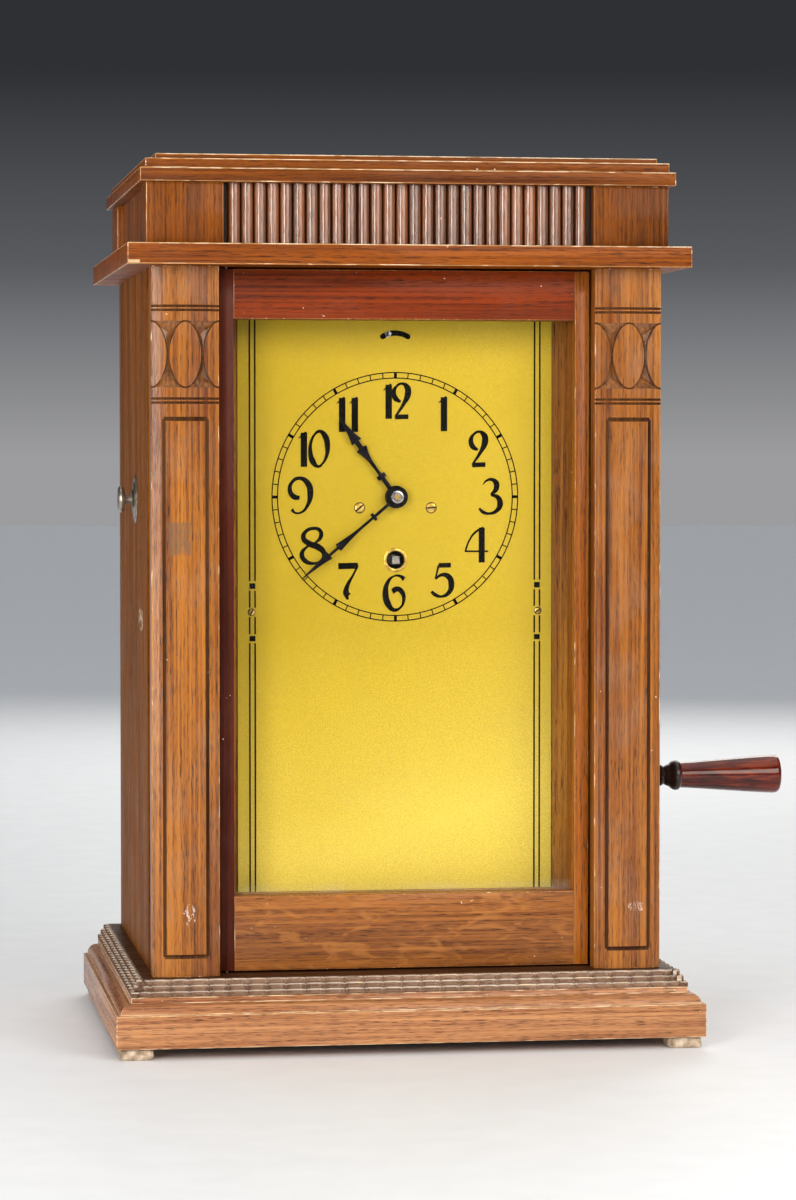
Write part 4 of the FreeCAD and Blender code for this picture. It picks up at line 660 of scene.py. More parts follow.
shelf_oak = oak("oak_shelf", "X", "#5e2804", "#984e08", 10.0, gloss=0.1, marks=(SHELF_CHIP,))
top_oak = oak("oak_top", "X", "#522402", "#884606", 11.0, gloss=0.1)
rubbed_edge = oak("oak_rubbed_edge", "X", "#8a5422", "#d0a066", 12.0, worn=0.8)
soft_edge = oak("oak_soft_edge", "X", "#7a4414", "#b88044", 12.0, worn=0.4)
for name, corners, wood, node, round_over in (
        ("shelf", SHELF, shelf_oak, "shelf_board", 0.5), ("lip", LIP, top_oak, "cornice_lip", 0.45),
        ("step", STEP, top_oak, "top_step", 0.45), ("cap", CAP, top_oak, "top_cap", 0.45)):
    board = paint(block(f"planed_{name}", *corners), wood, rubbed_edge, soft_edge)
    ease(board, round_over, look=1)
    stain(board, 2, lambda middle, face: face.material_index == 1 and middle.z < corners[1][2] - 0.6)
    fit(board, "case", [node])

BLOCK_WIDTH = 36.5
BLOCK_DEPTH = 33
FRIEZE_HALF = 125
FRIEZE_FRONT = -106.5
FRIEZE_LOW = 382.5
FRIEZE_HIGH = 411.5
block_oak = oak("oak_block", "Z", "#582a02", "#8c4a06", 13.0, gloss=0.1)
block_edge = oak("oak_block_edge", "Z", "#713a12", "#a86a30", 13.0, worn=0.3)
corner = block("corner", (-FRIEZE_HALF, FRIEZE_FRONT, FRIEZE_LOW),
               (-FRIEZE_HALF + BLOCK_WIDTH, FRIEZE_FRONT + BLOCK_DEPTH, FRIEZE_HIGH))
paint(corner, block_oak, block_edge)
ease(corner, 0.5, look=1)
shift_x = 2 * FRIEZE_HALF - BLOCK_WIDTH
shift_y = -2 * FRIEZE_FRONT - BLOCK_DEPTH
corners = joined("corner_blocks", [moved(corner, f"corner_{x}_{y}", (x, y, 0))
                                   for x in (0, shift_x) for y in (0, shift_y)])
bpy.data.objects.remove(corner)
fit(corners, "case", ["frieze_corner_blocks"])
dress(block_oak, "frieze_plain_panels")

REED_RADIUS = 3.05
REED_PITCH = 6.15
REED_COUNT = 28
REED_BACK = -100.45
REED_SINK = 0.3
BACKING_HALF = 88.5
BACKING_DEPTH = 6
# Reeding: round-nosed beads planed side by side, polished more than the flat boards by dusting.
# Its valleys are painted nearly black: dust and painted shade.
reed_oak = oak("oak_reeding", "Z", "#4a2008", "#8a4a18", 14.0, gloss=1.0, polish=0.2, skin=1.9,
               darkening=(-102.6, -101.2))
clear()
bpy.ops.mesh.primitive_cylinder_add(
    vertices=40, radius=REED_RADIUS * MM, depth=(FRIEZE_HIGH - FRIEZE_LOW) * MM,
    location=(-REED_PITCH * (REED_COUNT - 1) / 2 * MM, (REED_BACK + 0.05) * MM,
              (FRIEZE_LOW + FRIEZE_HIGH) / 2 * MM))
reed = named("reed")
split(reed, (0, REED_BACK + REED_SINK, 0), (0, 1, 0), drop=True)
modify(reed, "ARRAY", count=REED_COUNT, use_relative_offset=False, use_constant_offset=True,
       constant_offset_displace=(REED_PITCH * MM, 0, 0))
backing = block("backing", (-BACKING_HALF, REED_BACK, FRIEZE_LOW),
                (BACKING_HALF, REED_BACK + BACKING_DEPTH, FRIEZE_HIGH))
reeding = joined("reeding", [reed, backing])
fit(paint(reeding, reed_oak), "case", ["frieze_reeding"])

# DOOR
# A narrow oak frame, tenoned at the corners, holds the glass in a rebate behind its front lip.
# It turns on two pins set into the base and the shelf beside the left post.

DOOR_FRONT = -92
DOOR_BACK = -74
DOOR_LOW = 37.5
DOOR_HIGH = 371.5
DOOR_HALF = 89.2
SIGHT_HALF = 82.4
SIGHT_LOW = 73.2
SIGHT_HIGH = 348
REBATE = ((-85.4, -85, 70.2), (85.4, -60, 351))

# The top rail and the left stile sit in the shade; they are redder, and painted darker as painted shade.
# The low rail is quarter sawn.
rail_top_oak = oak("oak_rail_top", "X", "#461604", "#823004", 15.0, gloss=0.1)
rail_low_oak = oak("oak_rail_low", "X", "#643414", "#a2642e", 16.0, fleck=0.35, gloss=0.3)
stile_oak = oak("oak_stile", "Z", "#6a3008", "#aa6016", 17.0, gloss=0.3)
stile_painted_shade_oak = oak("oak_stile_painted_shade", "Z", "#340e03", "#561c06", 19.0, gloss=0.1)
door_edge = oak("oak_door_edge", "Z", "#7a4016", "#b07238", 17.0, worn=0.2)
for name, left, right, low, high, wood, node in (
        ("rail_top", -SIGHT_HALF, SIGHT_HALF, SIGHT_HIGH, DOOR_HIGH, rail_top_oak, "door_top_rail"),
        ("rail_low", -SIGHT_HALF, SIGHT_HALF, DOOR_LOW, SIGHT_LOW, rail_low_oak, "door_bottom_rail"),
        ("stile_left", -DOOR_HALF, -SIGHT_HALF, DOOR_LOW, DOOR_HIGH, stile_painted_shade_oak, "door_stile_left"),
        ("stile_right", SIGHT_HALF, DOOR_HALF, DOOR_LOW, DOOR_HIGH, stile_oak, "door_stile_right")):
    bar = block(f"door_{name}_wood", (left, DOOR_FRONT, low), (right, DOOR_BACK, high))
    # The left stile's rounded edges keep its painted shade instead of the pale edge.
    paint(bar, wood, wood if wood == stile_painted_shade_oak else door_edge)
    ease(bar, 0.35, look=1)
    carve(bar, block("rebate", *REBATE))
    fit(bar, "door", [node])
dress(stile_oak, "glass_beads")

# Window glass: almost clear, with a film of dust that thickens towards the bottom edge.
glass, tree, place = finish("window_glass")
smear = add(tree, "TexNoise", {"Vector": place, "Scale": 1 / (30 * MM), "Detail": 5.0, "Distortion": 0.6})
height = add(tree, "SeparateXYZ", {"Vector": place}, out="Z")
low_edge = add(tree, "MapRange", {"Value": height, "From Min": 73 * MM, "From Max": 79 * MM, "To Min": 0.07,
                                  "To Max": 0.004})
film = add(tree, "MapRange", {"Value": smear, "From Min": 0.4, "From Max": 0.75, "To Min": 0.6,
                              "To Max": 1.8})
cover = add(tree, "Math", {0: low_edge, 1: film}, operation="MULTIPLY")
surface = add(tree, "BsdfPrincipled", {"Base Color": linear("#e8e4d6"), "Roughness": 0.12, "IOR": 1.5,
                                       "Alpha": cover})
add(tree, "OutputMaterial", {"Surface": surface})
dress(glass, "door_glass")

# Brass fittings: turned and left bare, gone brown in the corners.
fittings_brass = metal("turned_brass", "#7d5a22", "#c79a4a", 0.25, 0.45, 4)
dress(fittings_brass, "door_pivot_bushes")
dress(screw_steel, "door_pivot_pins")

# DIAL
# A sheet of brass, matted and lacquered, is screwed to two battens behind the door.
# Its minute track, side lines and numerals are printed in black and its holes show the works' arbors.

DIAL_FRONT = -59.5
DIAL_MIDDLE = 263.1
PRINT = 0.07

# Matted gilt brass: mustard gold with a fine sandy tooth. Light and shade are painted into its colour:
# paler near the bottom and browner towards the top and the left.
gilt, tree, place = finish("matted_gilt_brass")
cloud = add(tree, "TexNoise", {"Vector": place, "Scale": 1 / (60 * MM), "Detail": 4.0, "Roughness": 0.55})
tooth = add(tree, "TexNoise", {"Vector": place, "Scale": 1 / (0.55 * MM), "Detail": 2.0})
sides = add(tree, "SeparateXYZ", {"Vector": place}).node.outputs
# Painted light and shade: paler at the bottom, browner towards the top under the shelf and the top rail.
painted_shade_and_tone = add(tree, "MapRange", {"Value": sides["Z"], "From Min": 65 * MM, "From Max": 200 * MM, "To Min": -0.1,
                              "To Max": 0.9})
# Painted light: paler towards the right, away from the shade of the left post.
painted_light_right = add(tree, "MapRange", {"Value": sides["X"], "From Min": -60 * MM, "From Max": 65 * MM, "To Min": 0.05,
                               "To Max": 0.4})
painted_shade_and_tone = add(tree, "Math", {0: painted_shade_and_tone, 1: painted_light_right}, operation="SUBTRACT")
painted_shade_and_tone = add(tree, "Math", {0: cloud, 1: 0.2, 2: painted_shade_and_tone}, operation="MULTIPLY_ADD")
colour = add(tree, "ValToRGB", {"Fac": painted_shade_and_tone}, [(0.0, "#f2d858"), (0.3, "#dec242"), (0.6, "#d2b52e"),
                                               (1.0, "#b99d13")])
speck = add(tree, "ValToRGB", {"Fac": tooth}, [(0.32, 0.74), (0.66, 1.0)])
colour = add(tree, "Mix", {0: 1.0, 1: colour, 2: speck}, data_type="RGBA", blend_type="MULTIPLY")
bump = add(tree, "Bump", {"Height": tooth, "Strength": 0.3, "Distance": 0.08 * MM})
surface = add(tree, "BsdfPrincipled", {"Base Color": colour, "Metallic": 0.3, "Roughness": 0.55,
                                       "Normal": bump, "Specular IOR Level": 0.25})
add(tree, "OutputMaterial", {"Surface": surface})
dress(gilt, "dial_plate")
batten_oak = oak("oak_batten", "Z", "#8a5018", "#bd802e", 18.0, gloss=0.15)
dress(batten_oak, "dial_battens")

# Printing ink: dense black with a slight sheen and a few thin places.
ink, tree, place = finish("printing_ink")
thin = add(tree, "TexNoise", {"Vector": place, "Scale": 1 / (2 * MM), "Detail": 3.0})
colour = add(tree, "ValToRGB", {"Fac": thin}, [(0.4, "#030302"), (0.75, "#0d0b07")])
rough = add(tree, "ValToRGB", {"Fac": thin}, [(0.4, 0.55), (0.7, 0.75)])
surface = add(tree, "BsdfPrincipled", {"Base Color": colour, "Roughness": rough, "Specular IOR Level": 0.03})
add(tree, "OutputMaterial", {"Surface": surface})

RING_RADII = (57.7, 60.4)
RING_HALF = 0.28
LINE_SPANS = ((62.3, 192.4), (196.7, 205.1), (209.6, 217.8), (222.5, 357.7))
SQUARE_SPANS = ((193.3, 195.9), (218.7, 221.4))
DIAL_CENTRE = (0, DIAL_FRONT, DIAL_MIDDLE)


def printed(name, across, half, low, high):
    """A bar of ink on the dial."""
    return block(name, (across - half, DIAL_FRONT - PRINT, low), (across + half, DIAL_FRONT, high))


marks = []
for radius in RING_RADII:
    inner = radius - RING_HALF
    ring = flat(f"track_{radius}", inner, inner, DIAL_CENTRE, UPRIGHT, 180, "NOTHING")
    edit(ring, "EDGE")
    pull((0, 0, 0), [(radius + RING_HALF) / inner] * 3, DIAL_CENTRE)
    bpy.ops.mesh.select_all(action="SELECT")
    pull((0, -PRINT, 0))
    close()
    marks.append(ring)
for name, half, count, low, high in (("minute_ticks", 0.27, 60, *RING_RADII),
                                     ("hour_ticks", 0.75, 12, 57.6, 60.5)):
    tick = printed(name, 0, half, DIAL_MIDDLE + low, DIAL_MIDDLE + high)
    edit(tick)
    bpy.ops.mesh.spin(steps=count, angle=2 * math.pi, dupli=True, axis=(0, 1, 0),
                      center=[part * MM for part in DIAL_CENTRE])
    close()
    marks.append(tick)
for side in (-1, 1):
    for places, half, spans in (((68.7, 71.3), 0.4, LINE_SPANS), ((70,), 1.45, SQUARE_SPANS)):
        marks += [printed("line", side * across, half, *span) for across in places for span in spans]
fit(paint(joined("dial_print", marks), ink), "case")

# The numerals' strokes, as a broad pen draws them: each point is across, up and half the stroke's width.
STROKES = {
    "0": [((0.3, 8.5, 0.71), (3.2, 5.9, 1.33), (4.2, 1.2, 1.18), (3.7, -3.5, 0.71), (1.6, -7.3, 0.47),
           (-0.3, -8.5, 0.63), (-2.9, -6.2, 1.33), (-4.2, -1.3, 0.94), (-3.8, 3.5, 0.63), (-2.0, 7.0, 0.47))],
    "1": [((0.0, 7.9, 1.41), (0.0, -8.7, 1.41)), ((1.2, 8.2, 0.39), (-0.5, 6.8, 0.55), (-2.7, 5.1, 0.16))],
    "2": [((-0.4, -0.5, 0.55), (-2.9, 1.2, 1.18), (-3.8, 4.3, 1.02), (-2.4, 7.1, 0.55), (0.2, 8.4, 0.55),
           (2.9, 6.4, 1.33), (3.1, 3.2, 1.41), (1.0, -1.5, 0.79), (-3.2, -7.8, 0.39)),
          ((-3.2, -7.8, 1.02), (3.4, -7.6, 1.02))],
    "3": [((-3.8, 5.7, 0.16), (-2.0, 7.7, 0.47), (0.6, 8.3, 0.71), (2.8, 6.6, 1.26), (2.8, 3.8, 1.18),
           (0.2, 0.8, 0.47)),
          ((0.2, 0.8, 0.47), (3.5, -0.3, 1.02), (4.8, -3.5, 1.33), (3.1, -6.9, 0.86), (-0.6, -8.3, 0.55),
           (-3.8, -7.5, 0.79), (-5.6, -5.7, 0.47))],
    "4": [((2.6, 8.5, 1.33), (2.6, -8.6, 1.33)),
          ((3.4, 8.5, 0.55), (-0.8, 6.0, 0.47), (-3.8, 1.7, 0.39), (-5.5, -3.0, 0.39)),
          ((-5.8, -3.1, 0.39), (5.8, -3.1, 0.39))],
    "5": [((-1.9, 7.4, 1.02), (4.2, 7.5, 1.02)), ((-1.9, 7.5, 0.47), (-3.5, 0.7, 0.39)),
          ((-3.5, 0.7, 0.39), (-0.6, 2.7, 0.71), (2.7, 2.1, 1.18), (4.4, -1.6, 1.33), (3.1, -5.9, 0.94),
           (-0.6, -7.8, 0.55), (-3.8, -6.8, 0.86), (-5.5, -5.3, 0.63))],
    "6": [((5.1, 6.7, 1.02), (3.1, 8.2, 0.63), (-0.1, 8.2, 0.39), (-3.1, 5.2, 0.86), (-4.2, 0.0, 1.33),
           (-3.1, -4.9, 1.41), (-0.1, -8.2, 0.86), (3.1, -7.1, 0.47), (4.8, -3.3, 0.71), (4.0, 0.3, 1.1),
           (1.8, 2.0, 1.1), (-0.9, 0.8, 1.18))],
    "7": [((-4.8, 7.7, 1.33), (4.9, 7.9, 1.33)),
          ((4.9, 8.2, 0.47), (2.4, 3.1, 0.47), (-0.2, -1.6, 0.86), (-1.0, -5.3, 1.33), (-0.1, -8.6, 0.47)),
          ((-0.7, -6.3, 0.94), (1.2, -5.5, 0.31))],
    "8": [((0.5, 8.5, 0.71), (-3.8, 6.9, 0.79), (-4.9, 3.8, 1.1), (-2.0, 1.1, 1.26), (2.3, -0.6, 1.41),
           (5.1, -3.5, 1.1), (4.3, -6.8, 0.71), (0.4, -8.5, 0.55), (-4.2, -7.1, 1.1), (-5.7, -3.9, 1.02),
           (-3.7, -0.9, 0.55), (1.0, 1.6, 0.47), (3.7, 4.7, 0.94), (3.1, 7.5, 0.86))],
    "9": [((-0.4, -0.9, 0.86), (-3.1, -0.4, 1.18), (-5.1, 2.3, 1.02), (-4.3, 6.5, 0.71), (-0.2, 8.6, 0.79),
           (3.7, 5.9, 1.33), (4.8, 1.2, 1.33), (3.7, -4.0, 0.79), (0.5, -7.9, 0.47), (-2.7, -8.1, 0.47),
           (-4.3, -6.5, 0.79))],
}
CLOSED = ("0", "8")
PEN = 1.15
FLATTEN = 0.06
HOURS = {12: (0.8, 46.6), 1: (23.9, 40.6), 2: (41.0, 23.3), 3: (46.9, 0.1), 4: (40.0, -23.5),
         5: (23.2, -40.8), 6: (-0.7, -46.8), 7: (-23.3, -41.3), 8: (-40.2, -23.7), 9: (-46.5, 0.5),
         10: (-39.9, 23.3), 11: (-23.7, 40.2)}
PAIRS = {"10": (-4.9, 2.4), "11": (-2.4, 3.8), "12": (-4.1, 2.2)}
numerals = []
for hour, (across, up) in HOURS.items():
    figures = str(hour)
    curve = bpy.data.curves.new(f"hour_{hour}", "CURVE")
    curve.dimensions = "3D"
    curve.bevel_depth = PEN * MM
    curve.bevel_resolution = 2
    curve.resolution_u = 8
    curve.use_fill_caps = True
    for figure, offset in zip(figures, PAIRS.get(figures, (0,))):
        for stroke in STROKES[figure]:
            line = curve.splines.new("BEZIER")
            line.bezier_points.add(len(stroke) - 1)
            line.use_cyclic_u = figure in CLOSED
            for point, (x, z, half) in zip(line.bezier_points, stroke):
                point.co = ((across + offset + x) * MM, 0, (up + z) * MM)
                point.radius = half
                point.handle_left_type = point.handle_right_type = "AUTO" if len(stroke) > 2 else "VECTOR"
    drawn = bpy.data.objects.new(f"hour_{hour}", curve)
    bpy.context.scene.collection.objects.link(drawn)
    take(drawn)
    bpy.ops.object.convert(target="MESH")
    drawn = bpy.context.object
    drawn.scale = (1, FLATTEN, 1)
    numerals.append(placed(drawn, DIAL_CENTRE))
fit(paint(joined("numerals", numerals), ink), "case")

# DIAL FITTINGS
# Slotted brass screws hold the dial to its battens and the movement to the dial.
# A brass grommet lines the winding hole, turned with a rounded lip and pressed in.

SCREW_SLOT = 0.8
SLOT_PLACE = -60.15
HEAD_SEAT = -59.3
CROWN_BACK = -59.9
# Lacquered brass: yellow and bright on the crown, brown where the lacquer has gone.
lacquered_brass = metal("lacquered_brass", "#8a6420", "#e2bd62", 0.25, 0.45, 2.5)
# Painted shade: the slots and rims are painted nearly black, for the shade in each slot and round each head.
slot_painted_shade = metal("brass_slot_painted_shade", "#1a1006", "#3a2810", 0.5, 0.7, 2.5, metallic=0.3)


def turned(name, axis, centre, stations, sides=48):
    """A round piece: a disc drawn out along X or Y through stations of place and radius, in millimetres."""
    along = "XY".index(axis)
    middle = list(centre)
    middle.insert(along, stations[0][0])
    first = stations[0][1]
    piece = flat(name, first, first, middle, (0, math.pi / 2, 0) if axis == "X" else UPRIGHT, sides)
    edit(piece)
    for (place, radius), (next_place, next_radius) in zip(stations, stations[1:]):
        step = [0, 0, 0]
        step[along] = next_place - place
        spread = [next_radius / radius] * 3
        spread[along] = 1
        middle[along] = next_place
        pull(step, spread, middle)
    if stations[0] == stations[-1]:
        # A ring: the discs that closed its two ends go.
        edit(piece, "FACE", lambda middle: all(abs(middle[i] - c) < 0.01 for i, c in zip(
            [i for i in range(3) if i != along], centre)))
        bpy.ops.mesh.delete(type="ONLY_FACE")
    edit(piece)
    close(0.002)
    return piece


for name, node, radius, shank, end, spots in (
        ("movement_screw_heads", "movement_screws", 2.7, 1.4, -54.2, ((-17.6, 257.8, 40), (17.6, 257.8, 4))),
        ("dial_screw_heads", "dial_screws", 1.85, 1.0, -51.6, ((-70.4, 207.4, 60), (70.4, 207.4, 35)))):
    screws = []
    for across, up, turn in spots:
        screw = turned(name, "Y", (across, up), [
            (end, shank), (HEAD_SEAT, shank), (HEAD_SEAT, radius), (-59.75, radius), (-60.0, radius - 0.35),
            (-60.2, radius - 1.0)], 32)
        slot = block("slot", (-radius - 1, -0.5, -SCREW_SLOT / 2), (radius + 1, 0.5, SCREW_SLOT / 2))
        carve(screw, placed(slot, (across, SLOT_PLACE, up), (0, math.radians(-turn), 0)))
        paint(screw, lacquered_brass, slot_painted_shade)
        # The slot and the rim of each head take the painted shade.
        stain(screw, 1, lambda middle, face: (middle.y > CROWN_BACK or math.hypot(
            middle.x - across, middle.z - up) > radius - 0.3))
        screws.append(screw)
    fit(joined(name, screws), "case", [node], angle=25)

HOLE_HEIGHT = 232.4
grommet = turned("winding_hole_lip", "Y", (0, HOLE_HEIGHT), [
    (-58.3, 4.3), (-58.3, 4.9), (-59.4, 4.9), (-59.4, 5.8), (-59.6, 5.9), (-59.85, 5.75), (-60.05, 5.3),
    (-60.1, 4.9), (-60.0, 4.5), (-59.7, 4.3), (-58.3, 4.3)], 64)
fit(paint(grommet, lacquered_brass), "case", ["winding_grommet"])

# HANDS
# Flat steel hands, sawn and filed to a cross collar, a flared shoulder and a barbed point, then blued.
# A polished steel nut with a hollow crown holds the minute hand on its square.

HOUR_ANGLE = 324
MINUTE_ANGLE = 229.6
HAND_THICKNESS = 0.8
# Half the blade's width at each length from the middle of the dial.
HOUR_BLADE = [(1.1, 3.0), (1.1, 11.2), (2.3, 11.2), (2.3, 13.4), (0.85, 13.4), (0.8, 17), (1.0, 21.5),
              (1.35, 24), (1.9, 26.2), (3.0, 29), (1.2, 29.4), (1.2, 33), (2.9, 33), (2.2, 35.2), (1.6, 37.6),
              (1.25, 40), (0.7, 44), (0.2, 47.4)]
MINUTE_BLADE = [(0.75, 3.0), (0.75, 14.1), (2.0, 14.1), (2.0, 15.7), (0.65, 15.7), (0.7, 24), (0.9, 28),
                (1.25, 31.5), (1.65, 35), (2.1, 37.7), (0.7, 38.2), (0.7, 43.3), (2.15, 43.3), (1.5, 47),
                (1.0, 51), (0.55, 57), (0.2, 61.3)]

# Blued steel: nearly black with a cold sheen, brown at the thin points.
blued = metal("blued_steel", "#09080b", "#1a181f", 0.28, 0.45, 6)

for name, body, blade, angle, back, hub, node in (
        ("hour", "hour_work", HOUR_BLADE, HOUR_ANGLE, -61.7, 5.5, "hour_hand"),
        ("minute", "centre_arbor", MINUTE_BLADE, MINUTE_ANGLE, -64.7, 5.3, "minute_hand")):
    half, start = blade[0]
    strip = flat(f"{name}_blade", half, start / 2, (0, back, start / 2), UPRIGHT)
    edit(strip, "EDGE", lambda middle: middle.z > start - 0.01)
    for (half, place), (next_half, next_place) in zip(blade, blade[1:]):
        pull((0, 0, next_place - place), (next_half / half, 1, 1), (0, 0, next_place))
    close(0.002)
    edit(strip)
    pull((0, -HAND_THICKNESS, 0))
    close(0.002)
    ease(strip, 0.13, angle=50)
    face = back - HAND_THICKNESS
    boss = turned(f"{name}_boss", "Y", (0, 0), [(back, hub - 0.2), (back - 0.2, hub), (back - 0.6, hub),
                                                (face, hub - 0.25), (face, 2.0)])
    pointer = joined(f"{name}_pointer", [strip, boss])
    placed(pointer, (0, 0, DIAL_MIDDLE), (0, math.radians(angle), 0))
    fit(paint(pointer, blued), body, [node])

# Bright steel: the polished nut and the regulator's pin catch the light.
bright_steel = metal("bright_steel", "#6a6a6c", "#c6c6c8", 0.18, 0.35, 2)
washer = turned("hand_washer", "Y", (0, DIAL_MIDDLE), [(-65.6, 2.9), (-65.8, 3.2), (-66.5, 3.2), (-66.8, 2.9),
                                                        (-66.9, 2.3), (-66.6, 1.9), (-66.6, 1.2)])
fit(paint(washer, bright_steel), "centre_arbor", ["hand_nut"])
dress(bright_steel, "regulator_lever")
dress(screw_steel, "winding_arbor")

# CRANK
# A blackened steel arm on the works' shaft carries a turned wooden grip that spins on its pin.
# The grip is varnished red-brown and its neck and collar are stained black.

ARM_FACE = 131.2
ARM_OUT = 137.2
SHAFT_HEIGHT = 165.7
SHAFT_END = 8.95
GRIP_HEIGHT = 120.7
GRIP_END = 6.95
PIN_RADIUS = 2.9
black_steel = metal("blackened_steel", "#141312", "#3a3632", 0.35, 0.55, 5)
arm = turned("shaft_end", "X", (0, SHAFT_HEIGHT), [(ARM_FACE, SHAFT_END), (ARM_OUT, SHAFT_END)])
toe = turned("grip_end", "X", (0, GRIP_HEIGHT), [(ARM_FACE, GRIP_END), (ARM_OUT, GRIP_END)])
arm = joined("crank_arm_steel", [arm, toe])
edit(arm, "VERT")
bpy.ops.mesh.convex_hull()
clear()
ease(arm, 0.8, angle=60, segments=3)
pin = turned("grip_pin", "X", (0, GRIP_HEIGHT), [(ARM_OUT - 1, PIN_RADIUS), (199, PIN_RADIUS)])
nut = turned("shaft_nut", "X", (0, SHAFT_HEIGHT), [(ARM_OUT - 1, 5.2), (ARM_OUT, 5.2), (ARM_OUT, 4.6)], 6)
arm = paint(joined("crank_arm_steel", [arm, pin, nut]), black_steel)
fit(arm, "crank", ["crank_arm"])
dress(fittings_brass, "crank_bush")

GRIP = [(138.2, 3.4), (138.6, 4.2), (143.2, 4.2), (143.9, 4.9), (145.0, 5.4), (146.1, 4.9), (146.6, 4.4),
        (147.4, 4.9), (148.4, 5.4), (149.3, 5.6), (150.4, 6.6), (151.6, 7.4), (153.0, 7.6), (154.2, 7.3),
        (154.9, 6.6), (155.2, 6.35), (157.0, 6.45), (168, 7.2), (180, 8.1), (192, 9.0), (200, 9.5),
        (203.6, 9.65), (205.2, 9.45), (206.1, 8.8), (206.5, 7.6), (206.6, 5.0), (206.6, 2.0)]
NECK_END = 154.5
# Varnished beech stained red: deep gloss over streaky grain that runs along the grip.
grip_wood, tree, place = finish("red_varnished_beech")
mapped = add(tree, "Mapping", {"Vector": place, "Scale": (1 / (22 * MM), 1 / (2.2 * MM), 1 / (2.2 * MM))})
streak = add(tree, "TexNoise", {"Vector": mapped, "Scale": 1.0, "Detail": 4.0, "Distortion": 0.6})
wear = add(tree, "TexNoise", {"Vector": place, "Scale": 1 / (7 * MM), "Detail": 4.0})
colour = add(tree, "ValToRGB", {"Fac": streak}, [(0.3, "#280703"), (0.5, "#5c1808"), (0.7, "#8c3610")])
rough = add(tree, "ValToRGB", {"Fac": wear}, [(0.4, 0.12), (0.7, 0.32)])
bump = add(tree, "Bump", {"Height": wear, "Strength": 0.2, "Distance": 0.3 * MM})
surface = add(tree, "BsdfPrincipled", {"Base Color": colour, "Roughness": rough, "Normal": bump, "IOR": 1.5,
                                       "Specular IOR Level": 0.2, "Coat Weight": 0.5, "Coat Roughness": 0.06})
add(tree, "OutputMaterial", {"Surface": surface})
# Black stain: the neck and collar are near black with a worn gloss.
black_stain = metal("black_stained_wood", "#0b0706", "#2a1712", 0.2, 0.42, 5, metallic=0.0)
grip = paint(turned("turned_grip", "X", (0, GRIP_HEIGHT), GRIP, 64), grip_wood, black_stain)
stain(grip, 1, lambda middle, face: middle.x < NECK_END)
fit(grip, "grip", ["crank_grip"], angle=40)

# BUTTON
# A nickel push button on the left side starts the sound works; it slides in a nickel rosette
# that is spun from sheet, with a raised boss, and pressed into the panel.

BUTTON_HEIGHT = 261.5
# Dulled nickel: grey with warm brown spots where the plating has worn.
nickel = metal("dulled_nickel", "#6f655a", "#b9b2a6", 0.28, 0.5, 3)
button = turned("nickel_button", "X", (0, BUTTON_HEIGHT), [
    (-130.6, 3.0), (-130.55, 4.8), (-130.3, 5.8), (-129.8, 6.35), (-129.2, 6.5), (-128.4, 6.5), (-127.8, 6.2),
    (-127.4, 5.4), (-127.4, 2.2), (-103, 2.2), (-103, 3.9), (-100.9, 3.9), (-100.8, 2.0)])
fit(paint(button, nickel), "button", ["push_button"])
rosette = turned("nickel_rosette", "X", (0, BUTTON_HEIGHT), [
    (-109.7, 2.4), (-109.7, 3.9), (-121.6, 3.9), (-121.6, 11.7), (-121.9, 12.0), (-122.2, 11.8),
    (-122.5, 11.0), (-122.35, 9.6), (-122.4, 8.6), (-122.9, 8.0), (-123.2, 7.0), (-123.0, 6.0),
    (-123.1, 5.2), (-123.6, 4.6), (-123.8, 3.8), (-123.8, 2.4), (-109.7, 2.4)])
fit(paint(rosette, nickel), "case", ["knob_rosette"])

# WORKS
# The spring-driven movement behind the dial and the sound works below it stand in the closed case.
# Wheels and plates are brass, arbors and frames steel, the belt is coated cloth and the horn japanned tin.

works_brass = metal("works_brass", "#8a6a2c", "#d0a858", 0.22, 0.4, 8)
# The front plate is painted nearly black: painted shade for the dark inside of the winding hole.
plate_painted_shade = metal("plate_painted_shade", "#070503", "#140e07", 0.5, 0.7, 8)
works_steel = metal("works_steel", "#5a5855", "#9c9a96", 0.28, 0.5, 8)
coated_cloth = metal("coated_cloth", "#15100d", "#2c231d", 0.45, 0.7, 4, metallic=0.0)
japan = metal("black_japan", "#0a0908", "#1d1a17", 0.15, 0.35, 12, metallic=0.0)
dress(plate_painted_shade, "movement_front_plate")
dress(works_brass, "movement_back_plate", "escapement_housing", "mainspring_barrel", "centre_wheel",
      "cannon_pinion", "minute_wheel", "hour_wheel", "third_wheel", "escape_pinion", "balance_wheel",
      "motor_winding_wheel", "motor_barrel", "drive_roller", "idler_roller")
dress(works_steel, "movement_pillars", "works_frame", "crank_shaft", "start_lever")
dress(coated_cloth, "record_belt")
dress(japan, "sound_horn")

# ROOM
# A plain pale floor under the clock, and large soft lights at the front left, the front right, the left
# and behind. The camera stands a little to the left of the clock and above its middle.

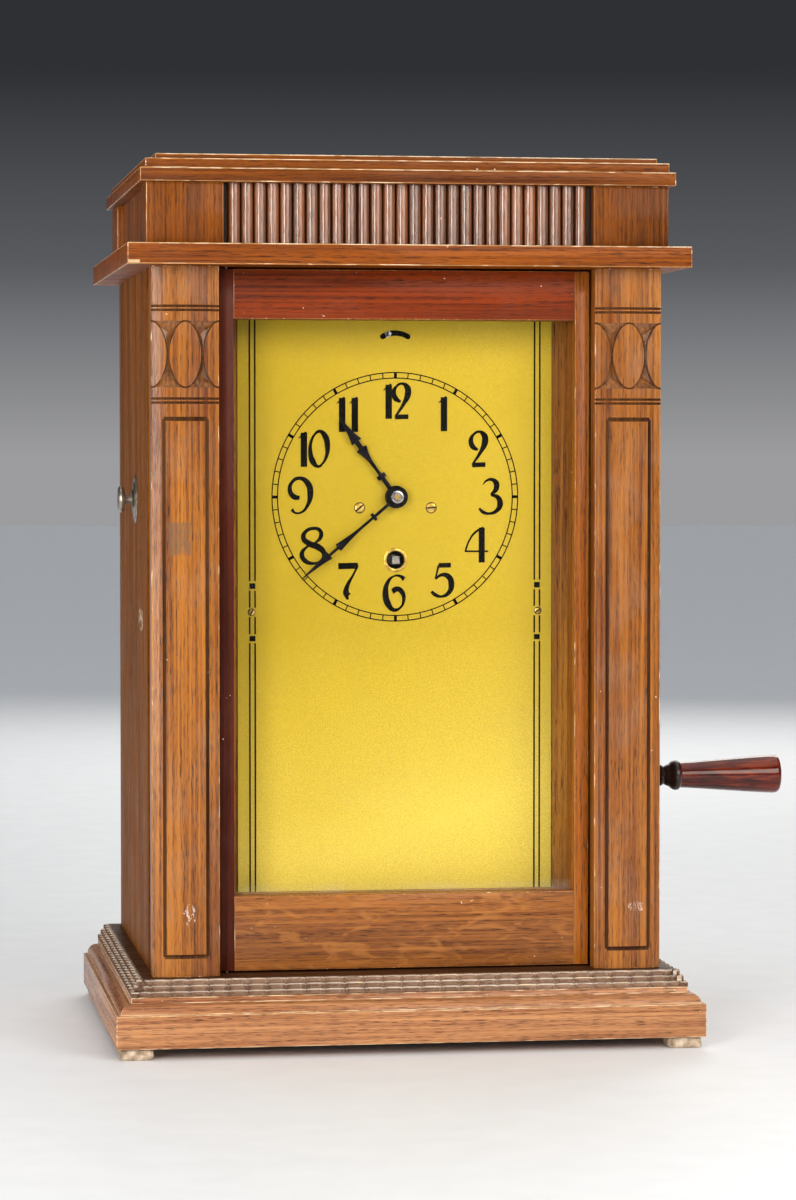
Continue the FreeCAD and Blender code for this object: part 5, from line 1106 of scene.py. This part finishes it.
FLOOR_RADIUS = 14000
floor_paint, tree, place = finish("pale_floor")
patch = add(tree, "TexNoise", {"Vector": place, "Scale": 1 / (25 * MM), "Detail": 3.0})
colour = add(tree, "ValToRGB", {"Fac": patch}, [(0.3, "#f0f4fa"), (0.7, "#f4f8fe")])
surface = add(tree, "BsdfPrincipled", {"Base Color": colour, "Roughness": 0.6})
add(tree, "OutputMaterial", {"Surface": surface})
floor = paint(flat("floor", FLOOR_RADIUS, FLOOR_RADIUS, sides=96), floor_paint)

world = bpy.data.worlds.new("studio")
world.use_nodes = True
world.node_tree.nodes.clear()
view = add(world.node_tree, "TexCoord", out="Generated")
rise = add(world.node_tree, "SeparateXYZ", {"Vector": view}, out="Z")
shade = add(world.node_tree, "ValToRGB", {"Fac": rise}, [
    (0.0, "#969698"), (0.05, "#55575b"), (0.1, "#2c2e32"), (0.72, "#2c2e32"), (0.86, "#ffffff")])
backdrop = add(world.node_tree, "Background", {"Color": shade, "Strength": 1.1})
add(world.node_tree, "OutputWorld", {"Surface": backdrop})
bpy.context.scene.world = world

TARGET = Vector((0, -0.05, 0.2))
for name, place, width, height, power in (("key", (-1.0, -1.7, 0.62), 0.6, 1.3, 25),
                                          ("fill", (0.9, -1.8, 0.95), 1.7, 0.9, 28),
                                          ("side", (-1.7, -0.3, 0.4), 0.8, 0.5, 5.5),
                                          ("rim", (0.6, 1.9, 1.2), 1.4, 1.0, 16)):
    lamp = bpy.data.lights.new(name, "AREA")
    lamp.shape = "RECTANGLE"
    lamp.size = width
    lamp.size_y = height
    lamp.energy = power
    lamp.color = (1.0, 0.95, 0.87)
    stand = bpy.data.objects.new(name, lamp)
    stand.location = place
    stand.visible_camera = False
    stand.rotation_euler = (TARGET - Vector(place)).to_track_quat("-Z", "Y").to_euler()
    bpy.context.scene.collection.objects.link(stand)

bpy.context.scene.view_settings.view_transform = "Standard"
camera = bpy.data.cameras.new("camera")
camera.lens = 114
camera.sensor_width = 36
viewer = bpy.data.objects.new("camera", camera)
viewer.location = (-0.272, -1.888, 0.282)
viewer.rotation_euler = (math.radians(90 - 2.14), 0, math.radians(-8.5))
bpy.context.scene.collection.objects.link(viewer)
bpy.context.scene.camera = viewer
